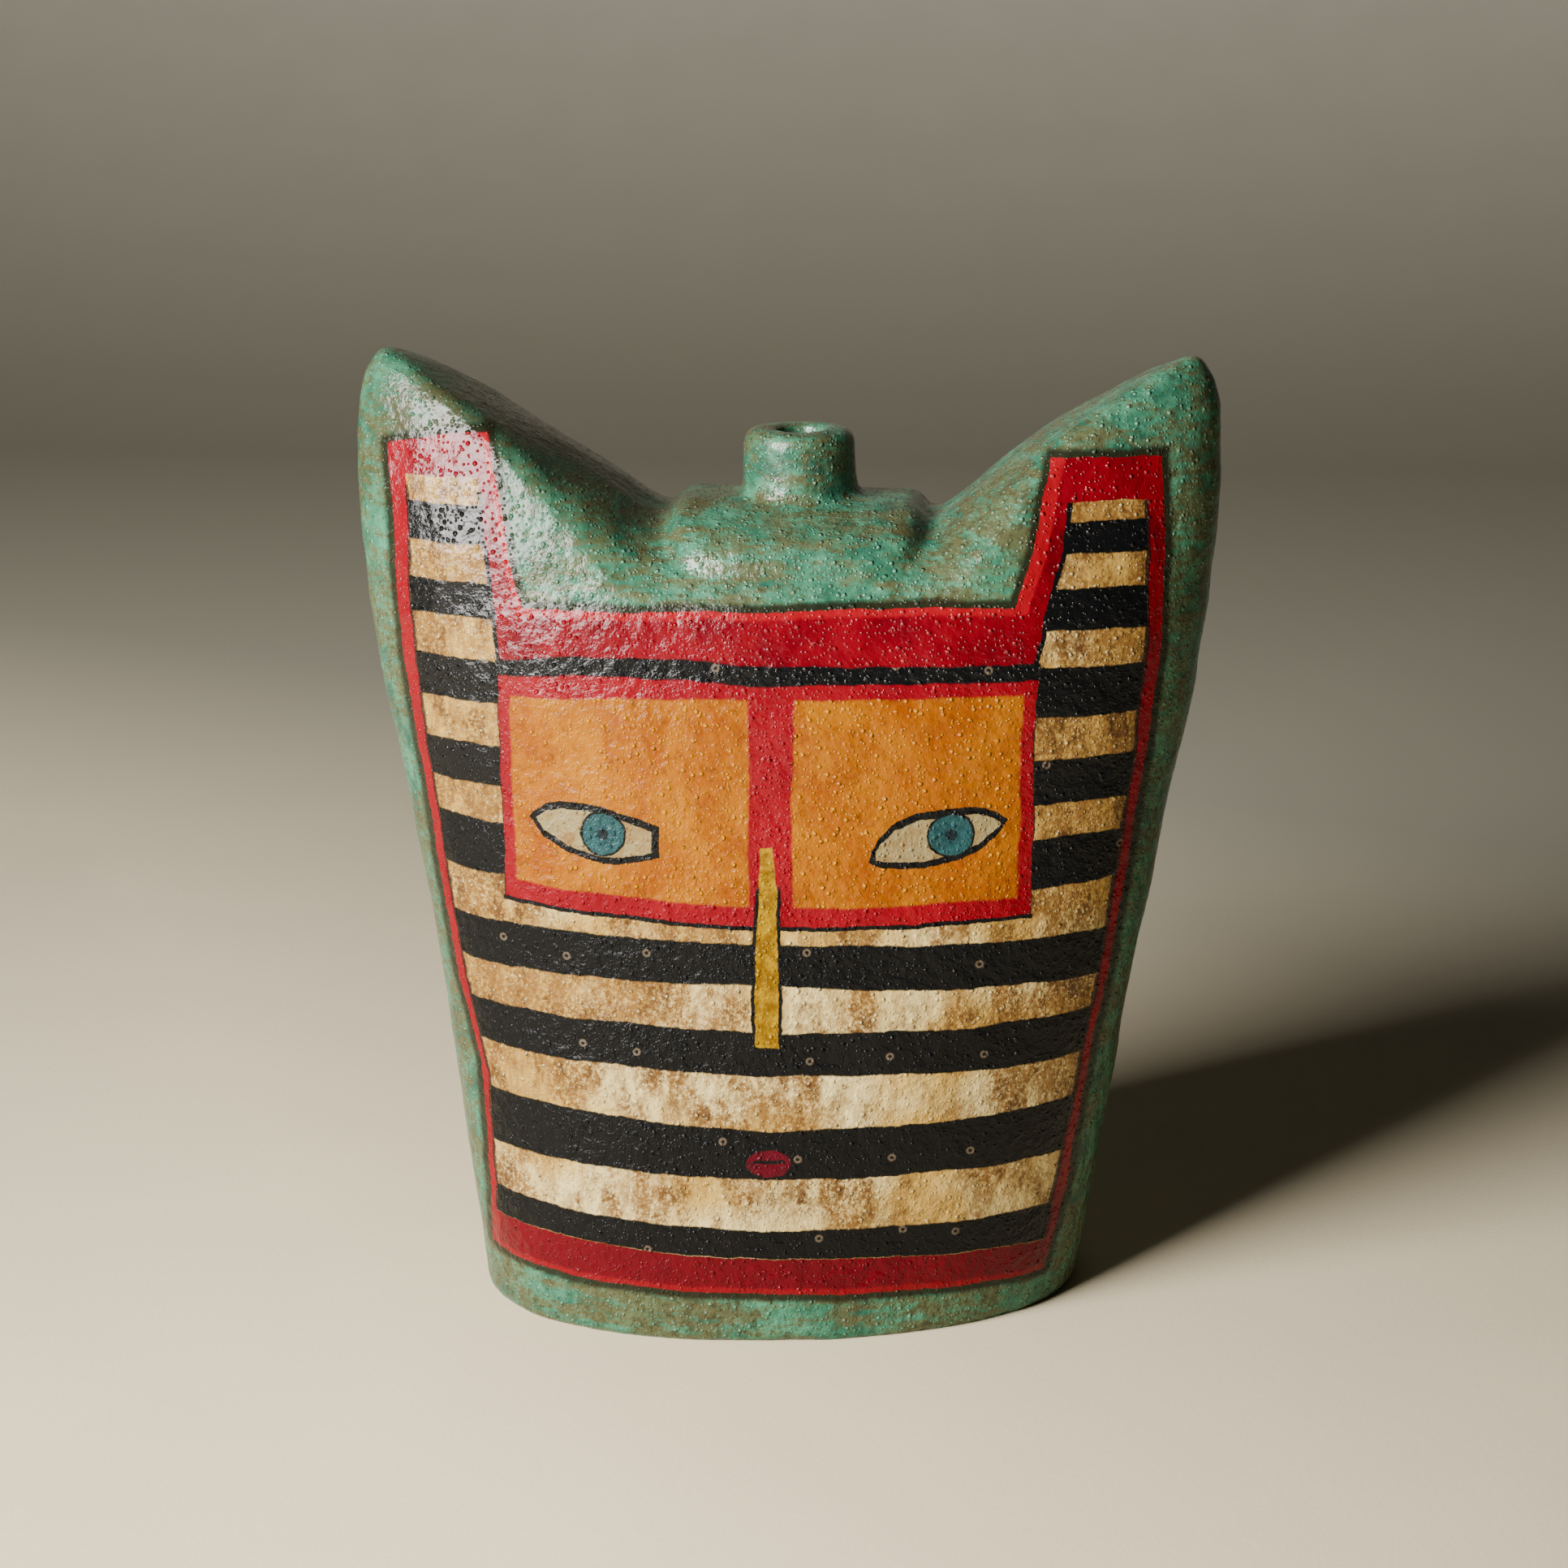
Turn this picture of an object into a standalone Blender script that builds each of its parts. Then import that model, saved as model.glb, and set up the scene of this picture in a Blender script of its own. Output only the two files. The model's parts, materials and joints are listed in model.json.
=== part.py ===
"""Slab-built stoneware bottle in the form of a cat's head.

A flat oval body widens from its foot to two hollow ears.  A raised pad between the
ears carries a short ring neck, whose bore opens into the body.  Each clay slab, the
pad, the ring and each inner seam coil is a body of its own, a slip joint apart.

Metres, +Z up, the painted face looks along -Y, origin at the middle of the foot.
"""
import math

import bmesh
import bpy
import numpy as np

MM = 0.001

# Driving sizes, in millimetres ---------------------------------------------------------
HALF_WIDTH = 87.3             # of the body across the ears
HALF_DEPTH = 39.0             # of the body near its foot
EAR_HEIGHT = 202.0            # where the ears' flanks would meet, just above their tips
WALL = 6.0                    # thickness of the clay slabs
FLOOR = 6.0                   # thickness of the base slab
SEAM = 0.3                    # slip joint between two pieces
FOOT_ROUND = 1.5              # rounding of the foot's lower edge


def sized(shares, across, up=1.0):
    """Curve drawn in shares of two overall sizes, in millimetres."""
    return [(a * across, u * up) for a, u in shares]


# The body's plan is a superellipse.  (height, half width) and (height, half depth).
PLAN_POWER = 2.2
WIDTHS = sized([(0.0, 0.7274), (0.2475, 0.7995), (0.495, 0.8889), (0.7426, 0.9828),
                (0.8218, 0.9989), (0.901, 1.0), (0.9455, 0.9908), (0.9678, 0.9725),
                (0.9827, 0.9439), (1.0, 0.882)], EAR_HEIGHT, HALF_WIDTH)
DEPTHS = sized([(0.0, 0.9872), (0.2475, 1.0), (0.495, 0.9487), (0.7426, 0.8333),
                (0.8812, 0.6154), (0.9406, 0.4744), (1.0, 0.2564)], EAR_HEIGHT, HALF_DEPTH)
FOOT_TWIST = math.radians(10)  # the foot is turned a little against the ears
TWIST_HEIGHT = 85.0            # height at which the turn has died away

# The top.  Distances are from the saddle's middle, which lies a little to one side.
SADDLE_SHIFT = 3.0
SADDLE_HALF = HALF_WIDTH * 0.3379   # half the length of the saddle between the ears
CROWN = sized([(0.0, 0.8218), (0.2291, 0.8228), (0.3207, 0.8277), (0.378, 0.8416),
               (0.4353, 0.8604), (0.5269, 0.8876), (0.6415, 0.9198), (0.756, 0.9475),
               (0.8706, 0.9733), (0.9393, 0.9842), (1.0538, 0.9975)], HALF_WIDTH, EAR_HEIGHT)
FRONT_DROP = sized([(0.0, 9.0), (0.2864, 11.0), (0.4009, 12.0), (0.4926, 9.0), (0.5842, 5.0),
                    (0.6644, 2.5), (0.8018, 1.0), (1.0538, 0.5)], HALF_WIDTH)
EDGE_ROUND = sized([(0.0, 8.0), (0.4009, 8.0), (0.6873, 5.0), (1.0538, 4.0)], HALF_WIDTH)
INNER_ROUND = 3.0

# Seams between the slabs, in the X-Z plane.
TOP_SEAM = sized([(0.0, 0.7624), (0.3551, 0.7673), (0.4467, 0.7995), (0.5727, 0.8564),
                  (0.6873, 0.901)], HALF_WIDTH, EAR_HEIGHT)
EAR_SEAM_X = HALF_WIDTH * 0.7331   # the ear tip is capped outside this
EAR_SEAM_Z = EAR_HEIGHT * 0.9257   # and above this
SIDE_SEAM = sized([(0.6014, 0.0), (0.8706, 0.7921)], HALF_WIDTH, EAR_HEIGHT)

# Pad and ring neck.
PAD_HALF_LENGTH = 25.5
PAD_HALF_DEPTH = 28.5
PAD_THICK = 4.2
PAD_ROUND = 3.5
PAD_CORNER_POWER = 5.0
NECK_OUTER = 22.0
NECK_BORE = 9.5
NECK_RISE = 17.2              # the ring's top above the saddle
NECK_ROUND = 2.2
LIP_ROUND = 1.0
NECK_FLARE = 0.8              # the ring spreads this much where it meets the pad
FLARE_RISE = 3.8              # height over which the spread dies away

# Rolled clay pressed into the inner corners.
BASE_COIL = 5.0
SEAM_COIL = 4.0
COIL_STOP = 4.0               # the upright coils end this far below the saddle's seam

SPARE = 8.0                   # cutters reach this far past the body
OUTSIDE = HALF_DEPTH * 1.2 + SPARE
FAR_X = HALF_WIDTH + SPARE
FAR_Z = EAR_HEIGHT + SPARE

AROUND = 60                   # corners round one ring of the body
PAD_STEPS = 44                # corners round the pad
COIL_STEPS = 44               # corners round the floor coil
RING_STEPS = 32               # corners round the neck


# Curves --------------------------------------------------------------------------------
def through(points, u):
    """Height at u of a smooth curve through (place, height) points."""
    place, height = np.array(points, float).T
    slope = np.gradient(height, place)
    u = min(max(u, place[0]), place[-1])
    i = min(int(np.searchsorted(place, u, side="right")) - 1, len(place) - 2)
    step = place[i + 1] - place[i]
    t = (u - place[i]) / step
    start = (1 + 2 * t) * (1 - t) ** 2 * height[i] + t * (1 - t) ** 2 * step * slope[i]
    end = t * t * (3 - 2 * t) * height[i + 1] + t * t * (t - 1) * step * slope[i + 1]
    return float(start + end)


def foot_turn(z):
    """Angle of the plan at height z."""
    t = min(max(1 - z / TWIST_HEIGHT, 0.0), 1.0)
    return FOOT_TWIST * t * t * (3 - 2 * t)


def plan_point(angle, z, inset=0.0):
    """Point of the body's outline at height z, moved inwards by inset."""
    c, s = math.cos(angle), math.sin(angle)
    x = (through(WIDTHS, z) - inset) * math.copysign(abs(c) ** (2 / PLAN_POWER), c)
    y = (through(DEPTHS, z) - inset) * math.copysign(abs(s) ** (2 / PLAN_POWER), s)
    turn = foot_turn(z)
    return (x * math.cos(turn) - y * math.sin(turn),
            x * math.sin(turn) + y * math.cos(turn), z)


def wall_depth(x, z, inset=0.0):
    """Half depth of the body at x and height z, above the twisted foot."""
    share = min(abs(x) / (through(WIDTHS, z) - inset), 1.0)
    return (through(DEPTHS, z) - inset) * (1 - share ** PLAN_POWER) ** (1 / PLAN_POWER)


def from_saddle(x):
    """Distance of x from the saddle's middle; the shift dies away towards the ears."""
    t = min(max((abs(x) - SADDLE_HALF) / SADDLE_HALF, 0.0), 1.0)
    return abs(x - SADDLE_SHIFT * (1 - t * t * (3 - 2 * t)))


def roof_height(x, y, inset=0.0, lift=0.0):
    """Height of the top surface; inset gives the cavity's ceiling."""
    u = from_saddle(x)
    crown = through(CROWN, u)
    drop = through(FRONT_DROP, u)
    edge = INNER_ROUND if inset else through(EDGE_ROUND, u)
    reach = roof_reach(x, inset)
    edge = min(edge, 0.6 * reach)
    over = min(max((abs(y) - (reach - edge)) / edge, 0.0), 1.0)
    fall = drop * min(abs(y) / roof_reach(x), 1.0) ** 2
    return crown - inset + lift - fall - edge * (1 - math.sqrt(1 - over * over))


def roof_reach(x, inset=0.0):
    """Half depth of the top surface at x, where it turns down into the walls."""
    u = from_saddle(x)
    edge_height = through(CROWN, u) - through(FRONT_DROP, u) - through(EDGE_ROUND, u)
    return max(wall_depth(x, edge_height, inset) * 1.004, 5.0)


# Meshes --------------------------------------------------------------------------------
def new_object(name, bm):
    """Object that holds bm, faces outwards, in metres."""
    bmesh.ops.scale(bm, vec=(MM, MM, MM), verts=bm.verts)
    bmesh.ops.recalc_face_normals(bm, faces=bm.faces)
    mesh = bpy.data.meshes.new(name)
    bm.to_mesh(mesh)
    bm.free()
    made = bpy.data.objects.new(name, mesh)
    bpy.context.scene.collection.objects.link(made)
    return made


def cutter(made):
    """Mark an object as a tool that is not part of the bottle."""
    made.hide_render = True
    made.display_type = "WIRE"
    return made


def loft(name, rings):
    """Closed body through rings with equal corner counts."""
    bm = bmesh.new()
    rows = [[bm.verts.new(point) for point in ring] for ring in rings]
    for low, high in zip(rows, rows[1:]):
        for i, corner in enumerate(low):
            j = (i + 1) % len(low)
            bm.faces.new((corner, low[j], high[j], high[i]))
    bm.faces.new(rows[0][::-1])
    bm.faces.new(rows[-1])
    bmesh.ops.triangulate(bm, faces=bm.faces, quad_method="FIXED")
    return new_object(name, bm)


def tube(name, inset, low, foot_round=0.0):
    """The body's upright oval solid, from low to just above the ears."""
    shares = (0.11, 0.22, 0.32, 0.425, 0.535, 0.645, 0.735, 0.8, 0.86, 0.905, 0.935, 0.96,
              0.98, 1.0)
    levels = [low] + [share * EAR_HEIGHT for share in shares]
    angles = [2 * math.pi * (k + 0.5) / AROUND for k in range(AROUND)]
    rings = [[plan_point(a, z, inset) for a in angles] for z in levels]
    if foot_round:
        rings.insert(1, [plan_point(a, foot_round, inset) for a in angles])
        rings[0] = [plan_point(a, low, inset + foot_round * 0.8) for a in angles]
    return cutter(loft(name, rings))


def under_roof(name, inset=0.0, lift=0.0):
    """Solid that lies under the top surface."""
    shares = (0.0, 0.1, 0.195, 0.265, 0.31, 0.35, 0.39, 0.435, 0.495, 0.56, 0.63, 0.7, 0.77,
              0.835, 0.895, 0.94, 0.985)
    halves = [share * HALF_WIDTH for share in shares] + [FAR_X]
    columns = [-h for h in halves[:0:-1]] + halves
    share = [0.0, 0.3, 0.55, 0.72, 0.82, 0.9, 0.96, 1.0]
    bm = bmesh.new()
    grid = []
    for x in columns:
        half_rows = [s * roof_reach(x, inset) for s in share] + [OUTSIDE]
        rows = [-y for y in half_rows[:0:-1]] + half_rows
        grid.append([bm.verts.new((x, y, roof_height(x, y, inset, lift))) for y in rows])
    for left, right in zip(grid, grid[1:]):
        for j in range(len(left) - 1):
            bm.faces.new((left[j], right[j], right[j + 1], left[j + 1]))
    rim = grid[0] + [column[-1] for column in grid[1:]]
    rim += grid[-1][-2::-1] + [column[0] for column in grid[-2:0:-1]]
    floor = [bm.verts.new((v.co.x, v.co.y, -20.0)) for v in rim]
    for i, corner in enumerate(rim):
        j = (i + 1) % len(rim)
        bm.faces.new((corner, rim[j], floor[j], floor[i]))
    bm.faces.new(floor)
    return cutter(new_object(name, bm))


def prism(name, outline, near, far):
    """X-Z outline, pulled in by half a seam, between two Y planes."""
    inside = pulled_in(outline, SEAM / 2)
    return cutter(loft(name, [[(x, y, z) for x, z in inside] for y in (near, far)]))


def pulled_in(outline, distance):
    """Outline with every side moved inwards by distance."""
    points = np.array(outline, float)
    after = np.roll(points, -1, axis=0)
    area = np.sum(points[:, 0] * after[:, 1] - after[:, 0] * points[:, 1])
    along = after - points
    along /= np.linalg.norm(along, axis=1)[:, None]
    inward = np.stack([-along[:, 1], along[:, 0]], axis=1) * np.sign(area)
    before = np.roll(inward, 1, axis=0)
    mitre = (inward + before) / (1 + np.sum(inward * before, axis=1))[:, None]
    return points + mitre * distance


def cylinder(name, radius, low, high, x=0.0, y=0.0):
    """Upright round cutter."""
    ring = [(x + radius * math.cos(a), y + radius * math.sin(a))
            for a in np.linspace(0, 2 * math.pi, RING_STEPS, endpoint=False)]
    return cutter(loft(name, [[(px, py, z) for px, py in ring] for z in (low, high)]))


def cut(made, tool, operation):
    """Add a Boolean to an object."""
    boolean = made.modifiers.new(operation.lower(), "BOOLEAN")
    boolean.object = tool
    boolean.operation = operation
    return made


def settled(made):
    """Put the result of an object's modifiers in its mesh."""
    graph = bpy.context.evaluated_depsgraph_get()
    mesh = bpy.data.meshes.new_from_object(made.evaluated_get(graph))
    made.modifiers.clear()
    made.data = mesh
    return made


def copy_of(made, name):
    """Second object with the same shape."""
    second = bpy.data.objects.new(name, made.data.copy())
    bpy.context.scene.collection.objects.link(second)
    return second


def finish(made, colour, roughness, angle=40):
    """Give a piece its own glaze and smooth shading."""
    glaze = bpy.data.materials.new(made.name + "_glaze")
    glaze.use_nodes = True
    shader = glaze.node_tree.nodes["Principled BSDF"]
    shader.inputs["Base Color"].default_value = (*colour, 1)
    shader.inputs["Roughness"].default_value = roughness
    shader.inputs["Metallic"].default_value = 0.0
    made.data.materials.clear()
    made.data.materials.append(glaze)
    for face in made.data.polygons:
        face.material_index = 0
    made.data.shade_smooth()
    made.data.set_sharp_from_angle(angle=math.radians(angle))
    return made


# Colours -------------------------------------------------------------------------------
GREEN = (0.10, 0.26, 0.19)
DARK_GREEN = (0.06, 0.16, 0.12)
RED = (0.52, 0.03, 0.03)
BARE_CLAY = (0.30, 0.19, 0.11)


# Slabs ---------------------------------------------------------------------------------
def top_seam(side):
    """Seam between the walls and the top, from the saddle's middle out to one ear."""
    return [(side * x + SADDLE_SHIFT * (x < HALF_WIDTH / 2), z) for x, z in TOP_SEAM]


def slab_regions():
    """Each slab's X-Z outline and its Y range."""
    (low_x, low_z), (high_x, high_z) = SIDE_SEAM
    side_foot = low_x + (high_x - low_x) * (FLOOR - low_z) / (high_z - low_z)
    left_top = [(EAR_SEAM_X * -1, EAR_SEAM_Z)] + top_seam(-1)[:0:-1]
    right_top = top_seam(1)[1:] + [(EAR_SEAM_X, EAR_SEAM_Z)]
    middle = (SADDLE_SHIFT, TOP_SEAM[0][1])
    face = [(-side_foot, FLOOR), (side_foot, FLOOR), (high_x, high_z),
            (high_x, EAR_SEAM_Z)] + right_top[::-1] + [middle] + left_top[::-1]
    face += [(-high_x, EAR_SEAM_Z), (-high_x, high_z)]
    saddle_left = SADDLE_SHIFT - SADDLE_HALF
    saddle_right = SADDLE_SHIFT + SADDLE_HALF
    left_corner, right_corner = left_top[-1], right_top[0]
    both = (-OUTSIDE, OUTSIDE)
    regions = {
        "front_wall": (face, (-OUTSIDE, -SEAM / 2)),
        "back_wall": (face, (SEAM / 2, OUTSIDE)),
        "saddle_slab": ([(saddle_left, left_corner[1]), middle,
                         (saddle_right, right_corner[1]), (saddle_right, FAR_Z),
                         (saddle_left, FAR_Z)], both),
    }
    for name, side, top, inner in (("left", -1, left_top[::-1], saddle_left),
                                   ("right", 1, right_top, saddle_right)):
        edge = [(inner, top[0][1])] + [p for p in top if abs(p[0]) > abs(inner)]
        far = side * FAR_X
        ear = side * EAR_SEAM_X
        regions[name + "_ear_roof"] = (edge + [(ear, FAR_Z), (inner, FAR_Z)], both)
        regions[name + "_ear_tip"] = ([(ear, EAR_SEAM_Z), (far, EAR_SEAM_Z), (far, FAR_Z),
                                       (ear, FAR_Z)], both)
        regions[name + "_side_wall"] = ([(side * side_foot, FLOOR), (far, FLOOR),
                                         (far, EAR_SEAM_Z), (side * high_x, EAR_SEAM_Z),
                                         (side * high_x, high_z)], both)
    return regions


def make_slabs():
    """Base, walls and top slabs of the body."""
    body = tube("body_form", 0.0, 0.0, FOOT_ROUND)
    cut(body, under_roof("top_form"), "INTERSECT")
    settled(body)
    cavity = tube("cavity_form", WALL, FLOOR / 2)
    cut(cavity, under_roof("ceiling_form", WALL), "INTERSECT")
    settled(cavity)
    shell = cutter(copy_of(body, "shell_form"))
    cut(shell, cavity, "DIFFERENCE")
    bore = cylinder("bore_form", NECK_BORE / 2, FLOOR * 4, FAR_Z, SADDLE_SHIFT)
    cut(shell, bore, "DIFFERENCE")
    settled(shell)

    base = copy_of(body, "base_slab")
    below = [(-FAR_X, -OUTSIDE), (FAR_X, -OUTSIDE), (FAR_X, FLOOR), (-FAR_X, FLOOR)]
    cut(base, prism("base_region", below, -OUTSIDE, OUTSIDE), "INTERSECT")
    finish(settled(base), BARE_CLAY, 0.6)

    colours = {"front_wall": RED, "saddle_slab": DARK_GREEN, "left_ear_roof": DARK_GREEN}
    for name, (outline, (near, far)) in slab_regions().items():
        slab = copy_of(shell, name)
        cut(slab, prism(name + "_region", outline, near, far), "INTERSECT")
        finish(settled(slab), colours.get(name, GREEN), 0.3)


# Pad and ring neck ---------------------------------------------------------------------
def pad_form(name, lift=0.0):
    """Pad solid that reaches down into the body."""
    rings = []
    steps = [(0.0, 0.12), (0.12, 0.47), (0.4, 0.8), (1.0, 1.0)]
    steps = [(PAD_ROUND * d, share) for d, share in steps]
    for inset, share in [(0.0, None)] + steps + [(9.0, 1.0), (15.0, 1.0), (21.0, 1.0)]:
        ring = []
        for k in range(PAD_STEPS):
            a = 2 * math.pi * (k + 0.5) / PAD_STEPS
            c, s = math.cos(a), math.sin(a)
            power = 2 / PAD_CORNER_POWER
            x = SADDLE_SHIFT + (PAD_HALF_LENGTH - inset) * math.copysign(abs(c) ** power, c)
            y = (PAD_HALF_DEPTH - inset) * math.copysign(abs(s) ** power, s)
            if share is None:
                z = TOP_SEAM[0][1] - WALL
            else:
                z = roof_height(x, y, lift=PAD_THICK * share)
            ring.append((x, y, z + lift))
        rings.append(ring)
    return loft(name, rings)


def make_pad():
    """Pad of clay laid over the saddle, pierced by the bore."""
    pad = pad_form("neck_pad")
    cut(pad, under_roof("pad_seat", lift=SEAM * 1.3), "DIFFERENCE")
    cut(pad, cylinder("pad_bore", NECK_BORE / 2, FLOOR * 4, FAR_Z, SADDLE_SHIFT), "DIFFERENCE")
    finish(settled(pad), DARK_GREEN, 0.35)


def make_neck():
    """Ring neck, seated on the pad."""
    outer, bore = NECK_OUTER / 2, NECK_BORE / 2
    foot = TOP_SEAM[0][1]
    pad_top = CROWN[0][1] + PAD_THICK
    rim = CROWN[0][1] + NECK_RISE
    profile = [(bore, foot), (outer + NECK_FLARE, foot), (outer + NECK_FLARE, pad_top - 0.7),
               (outer + NECK_FLARE * 0.3, pad_top + FLARE_RISE / 3),
               (outer, pad_top + FLARE_RISE)]
    for k in range(5):
        a = math.pi / 2 * k / 4
        profile.append((outer - NECK_ROUND * (1 - math.cos(a)),
                        rim - NECK_ROUND * (1 - math.sin(a))))
    for k in range(3):
        a = math.pi / 2 * k / 2
        profile.append((bore + LIP_ROUND * (1 - math.sin(a)),
                        rim - LIP_ROUND * (1 - math.cos(a))))
    bm = bmesh.new()
    corners = [bm.verts.new((SADDLE_SHIFT + r, 0.0, z)) for r, z in profile]
    edges = [bm.edges.new(pair) for pair in zip(corners, corners[1:] + corners[:1])]
    bmesh.ops.spin(bm, geom=corners + edges, cent=(SADDLE_SHIFT, 0, 0), axis=(0, 0, 1),
                   angle=2 * math.pi, steps=RING_STEPS, use_merge=True)
    neck = new_object("neck_collar", bm)
    cut(neck, cutter(pad_form("neck_seat", SEAM * 1.2)), "DIFFERENCE")
    finish(settled(neck), GREEN, 0.3)


# Inner coils ---------------------------------------------------------------------------
def coil(name, points, diameter, closed):
    """Rolled clay along points."""
    curve = bpy.data.curves.new(name + "_line", "CURVE")
    curve.dimensions = "3D"
    curve.bevel_depth = diameter / 2 * MM
    curve.bevel_resolution = 2
    curve.use_fill_caps = not closed
    spline = curve.splines.new("POLY")
    spline.points.add(len(points) - 1)
    for target, point in zip(spline.points, points):
        target.co = (*[c * MM for c in point], 1)
    spline.use_cyclic_u = closed
    line = bpy.data.objects.new(name, curve)
    bpy.context.scene.collection.objects.link(line)
    graph = bpy.context.evaluated_depsgraph_get()
    mesh = bpy.data.meshes.new_from_object(line.evaluated_get(graph))
    bpy.data.objects.remove(line)
    made = bpy.data.objects.new(name, mesh)
    bpy.context.scene.collection.objects.link(made)
    return finish(made, BARE_CLAY, 0.8)


def beside_wall(angle, z, distance):
    """Point that lies distance inside the cavity's wall."""
    x, y, _ = plan_point(angle, z, WALL)
    ahead_x, ahead_y, _ = plan_point(angle + 0.02, z, WALL)
    along = math.hypot(ahead_x - x, ahead_y - y)
    return (x - (ahead_y - y) / along * distance, y + (ahead_x - x) / along * distance, z)


def make_coils():
    """Coil round the floor and four up the wall seams."""
    clear = SEAM * 1.8
    height = FLOOR + BASE_COIL / 2 + clear
    ring = [beside_wall(2 * math.pi * k / COIL_STEPS, height, BASE_COIL / 2 + clear)
            for k in range(COIL_STEPS)]
    coil("base_coil", ring, BASE_COIL, True)

    (low_x, low_z), (high_x, high_z) = SIDE_SEAM
    start = FLOOR + BASE_COIL + SEAM_COIL + clear
    for name, side, face in (("front_left", -1, -1), ("front_right", 1, -1),
                             ("back_left", -1, 1), ("back_right", 1, 1)):
        points = []
        for z in np.linspace(start, TOP_SEAM[0][1] - COIL_STOP, 10):
            seam_x = low_x + (high_x - low_x) * (z - low_z) / (high_z - low_z)
            share = min(seam_x / (through(WIDTHS, z) - WALL), 1.0)
            angle = math.acos(share ** (PLAN_POWER / 2))
            flat = angle if side > 0 else math.pi - angle
            points.append(beside_wall(face * flat, z, SEAM_COIL / 2 + clear))
        coil(name + "_seam_coil", points, SEAM_COIL, False)


def main():
    for old in list(bpy.data.objects):
        bpy.data.objects.remove(old)
    make_slabs()
    make_pad()
    make_neck()
    make_coils()


main()
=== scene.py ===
"""Looks of a slab-built stoneware bottle in the form of a cat's head.

The fired clay is modelled over the fixed frame of slabs: one fine skin runs over the
whole pot, is dimpled and lumped as hand-pressed grog clay is, and is then parted along
the same seams as the slabs.  The paint is laid on by shader nodes that read each
point's place on the pot, so a stripe runs on across a seam.
"""
from __future__ import annotations

import json
import logging
import math
from dataclasses import dataclass, field
from enum import Enum
from typing import Callable, Iterable, Sequence

import bpy
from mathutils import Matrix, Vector

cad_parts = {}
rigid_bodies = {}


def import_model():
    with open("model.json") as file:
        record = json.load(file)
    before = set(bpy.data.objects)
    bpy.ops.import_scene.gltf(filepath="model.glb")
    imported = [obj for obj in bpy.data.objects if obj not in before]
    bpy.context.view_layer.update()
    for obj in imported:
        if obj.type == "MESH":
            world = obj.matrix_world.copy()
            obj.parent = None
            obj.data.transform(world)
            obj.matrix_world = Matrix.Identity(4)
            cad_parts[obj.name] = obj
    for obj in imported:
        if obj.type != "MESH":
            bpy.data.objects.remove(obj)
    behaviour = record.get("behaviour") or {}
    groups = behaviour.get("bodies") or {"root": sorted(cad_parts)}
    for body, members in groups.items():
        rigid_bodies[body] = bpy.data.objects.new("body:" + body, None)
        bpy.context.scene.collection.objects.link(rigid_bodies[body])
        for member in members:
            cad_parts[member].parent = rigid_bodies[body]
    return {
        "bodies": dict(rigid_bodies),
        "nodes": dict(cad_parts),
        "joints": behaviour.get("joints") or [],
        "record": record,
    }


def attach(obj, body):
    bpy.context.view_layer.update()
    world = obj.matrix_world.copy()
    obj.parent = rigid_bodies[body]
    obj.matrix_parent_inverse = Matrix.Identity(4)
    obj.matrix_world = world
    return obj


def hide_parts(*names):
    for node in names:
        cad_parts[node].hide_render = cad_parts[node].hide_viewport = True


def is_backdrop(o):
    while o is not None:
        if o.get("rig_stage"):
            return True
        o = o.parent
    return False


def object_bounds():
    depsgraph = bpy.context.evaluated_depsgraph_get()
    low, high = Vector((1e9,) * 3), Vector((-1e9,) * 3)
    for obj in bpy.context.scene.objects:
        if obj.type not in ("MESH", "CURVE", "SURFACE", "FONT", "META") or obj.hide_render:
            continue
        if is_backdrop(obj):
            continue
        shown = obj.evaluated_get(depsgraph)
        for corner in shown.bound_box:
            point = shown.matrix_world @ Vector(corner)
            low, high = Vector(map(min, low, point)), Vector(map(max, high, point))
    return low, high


LOG = logging.getLogger("cat_bottle")
MM = 0.001
Pair = tuple[float, float]
Triple = tuple[float, float, float]
Colour = Triple
Points = Sequence[Pair]
Thing = bpy.types.Object


# Modelling helpers ---------------------------------------------------------------------
class Side(Enum):
    """The two sides of the head, by the sign of X."""

    LEFT = -1
    RIGHT = 1


def pick(*objects: Thing) -> None:
    """Select only these objects and make the first one active."""
    bpy.ops.object.select_all(action="DESELECT")
    for thing in objects:
        thing.select_set(True)
    bpy.context.view_layer.objects.active = objects[0]


def copy_of(source: Thing, name: str) -> Thing:
    """Free copy of an object, with its own mesh; it rides on nothing."""
    twin = source.copy()
    twin.data = source.data.copy()
    twin.name = name
    twin.parent = None
    for key in [key for key in twin.keys() if key.startswith("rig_")]:
        del twin[key]
    bpy.context.scene.collection.objects.link(twin)
    return twin


def edited(thing: Thing, *steps: Callable[[], object]) -> Thing:
    """Run operators in edit mode, each on the whole mesh."""
    pick(thing)
    bpy.ops.object.mode_set(mode="EDIT")
    for step in steps:
        bpy.ops.mesh.select_all(action="SELECT")
        step()
    bpy.ops.object.mode_set(mode="OBJECT")
    return thing


def face_outwards() -> None:
    """Turn the selected faces outwards."""
    bpy.ops.mesh.normals_make_consistent(inside=False)


def welded_copy(node: Thing, name: str) -> Thing:
    """Copy of a frame node whose loose triangles are merged into one surface."""
    return edited(copy_of(node, name),
                  lambda: bpy.ops.mesh.remove_doubles(threshold=1e-6))


def applied(thing: Thing, kind: str, **settings: object) -> Thing:
    """Add a modifier, set it and apply it.

    Args:
        thing: the object to change.
        kind: the modifier's type.
        settings: the modifier's own values.

    Returns:
        The changed object.
    """
    pick(thing)
    modifier = thing.modifiers.new(kind.title(), kind)
    for key, value in settings.items():
        setattr(modifier, key, value)
    bpy.ops.object.modifier_apply(modifier=modifier.name)
    return thing


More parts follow.
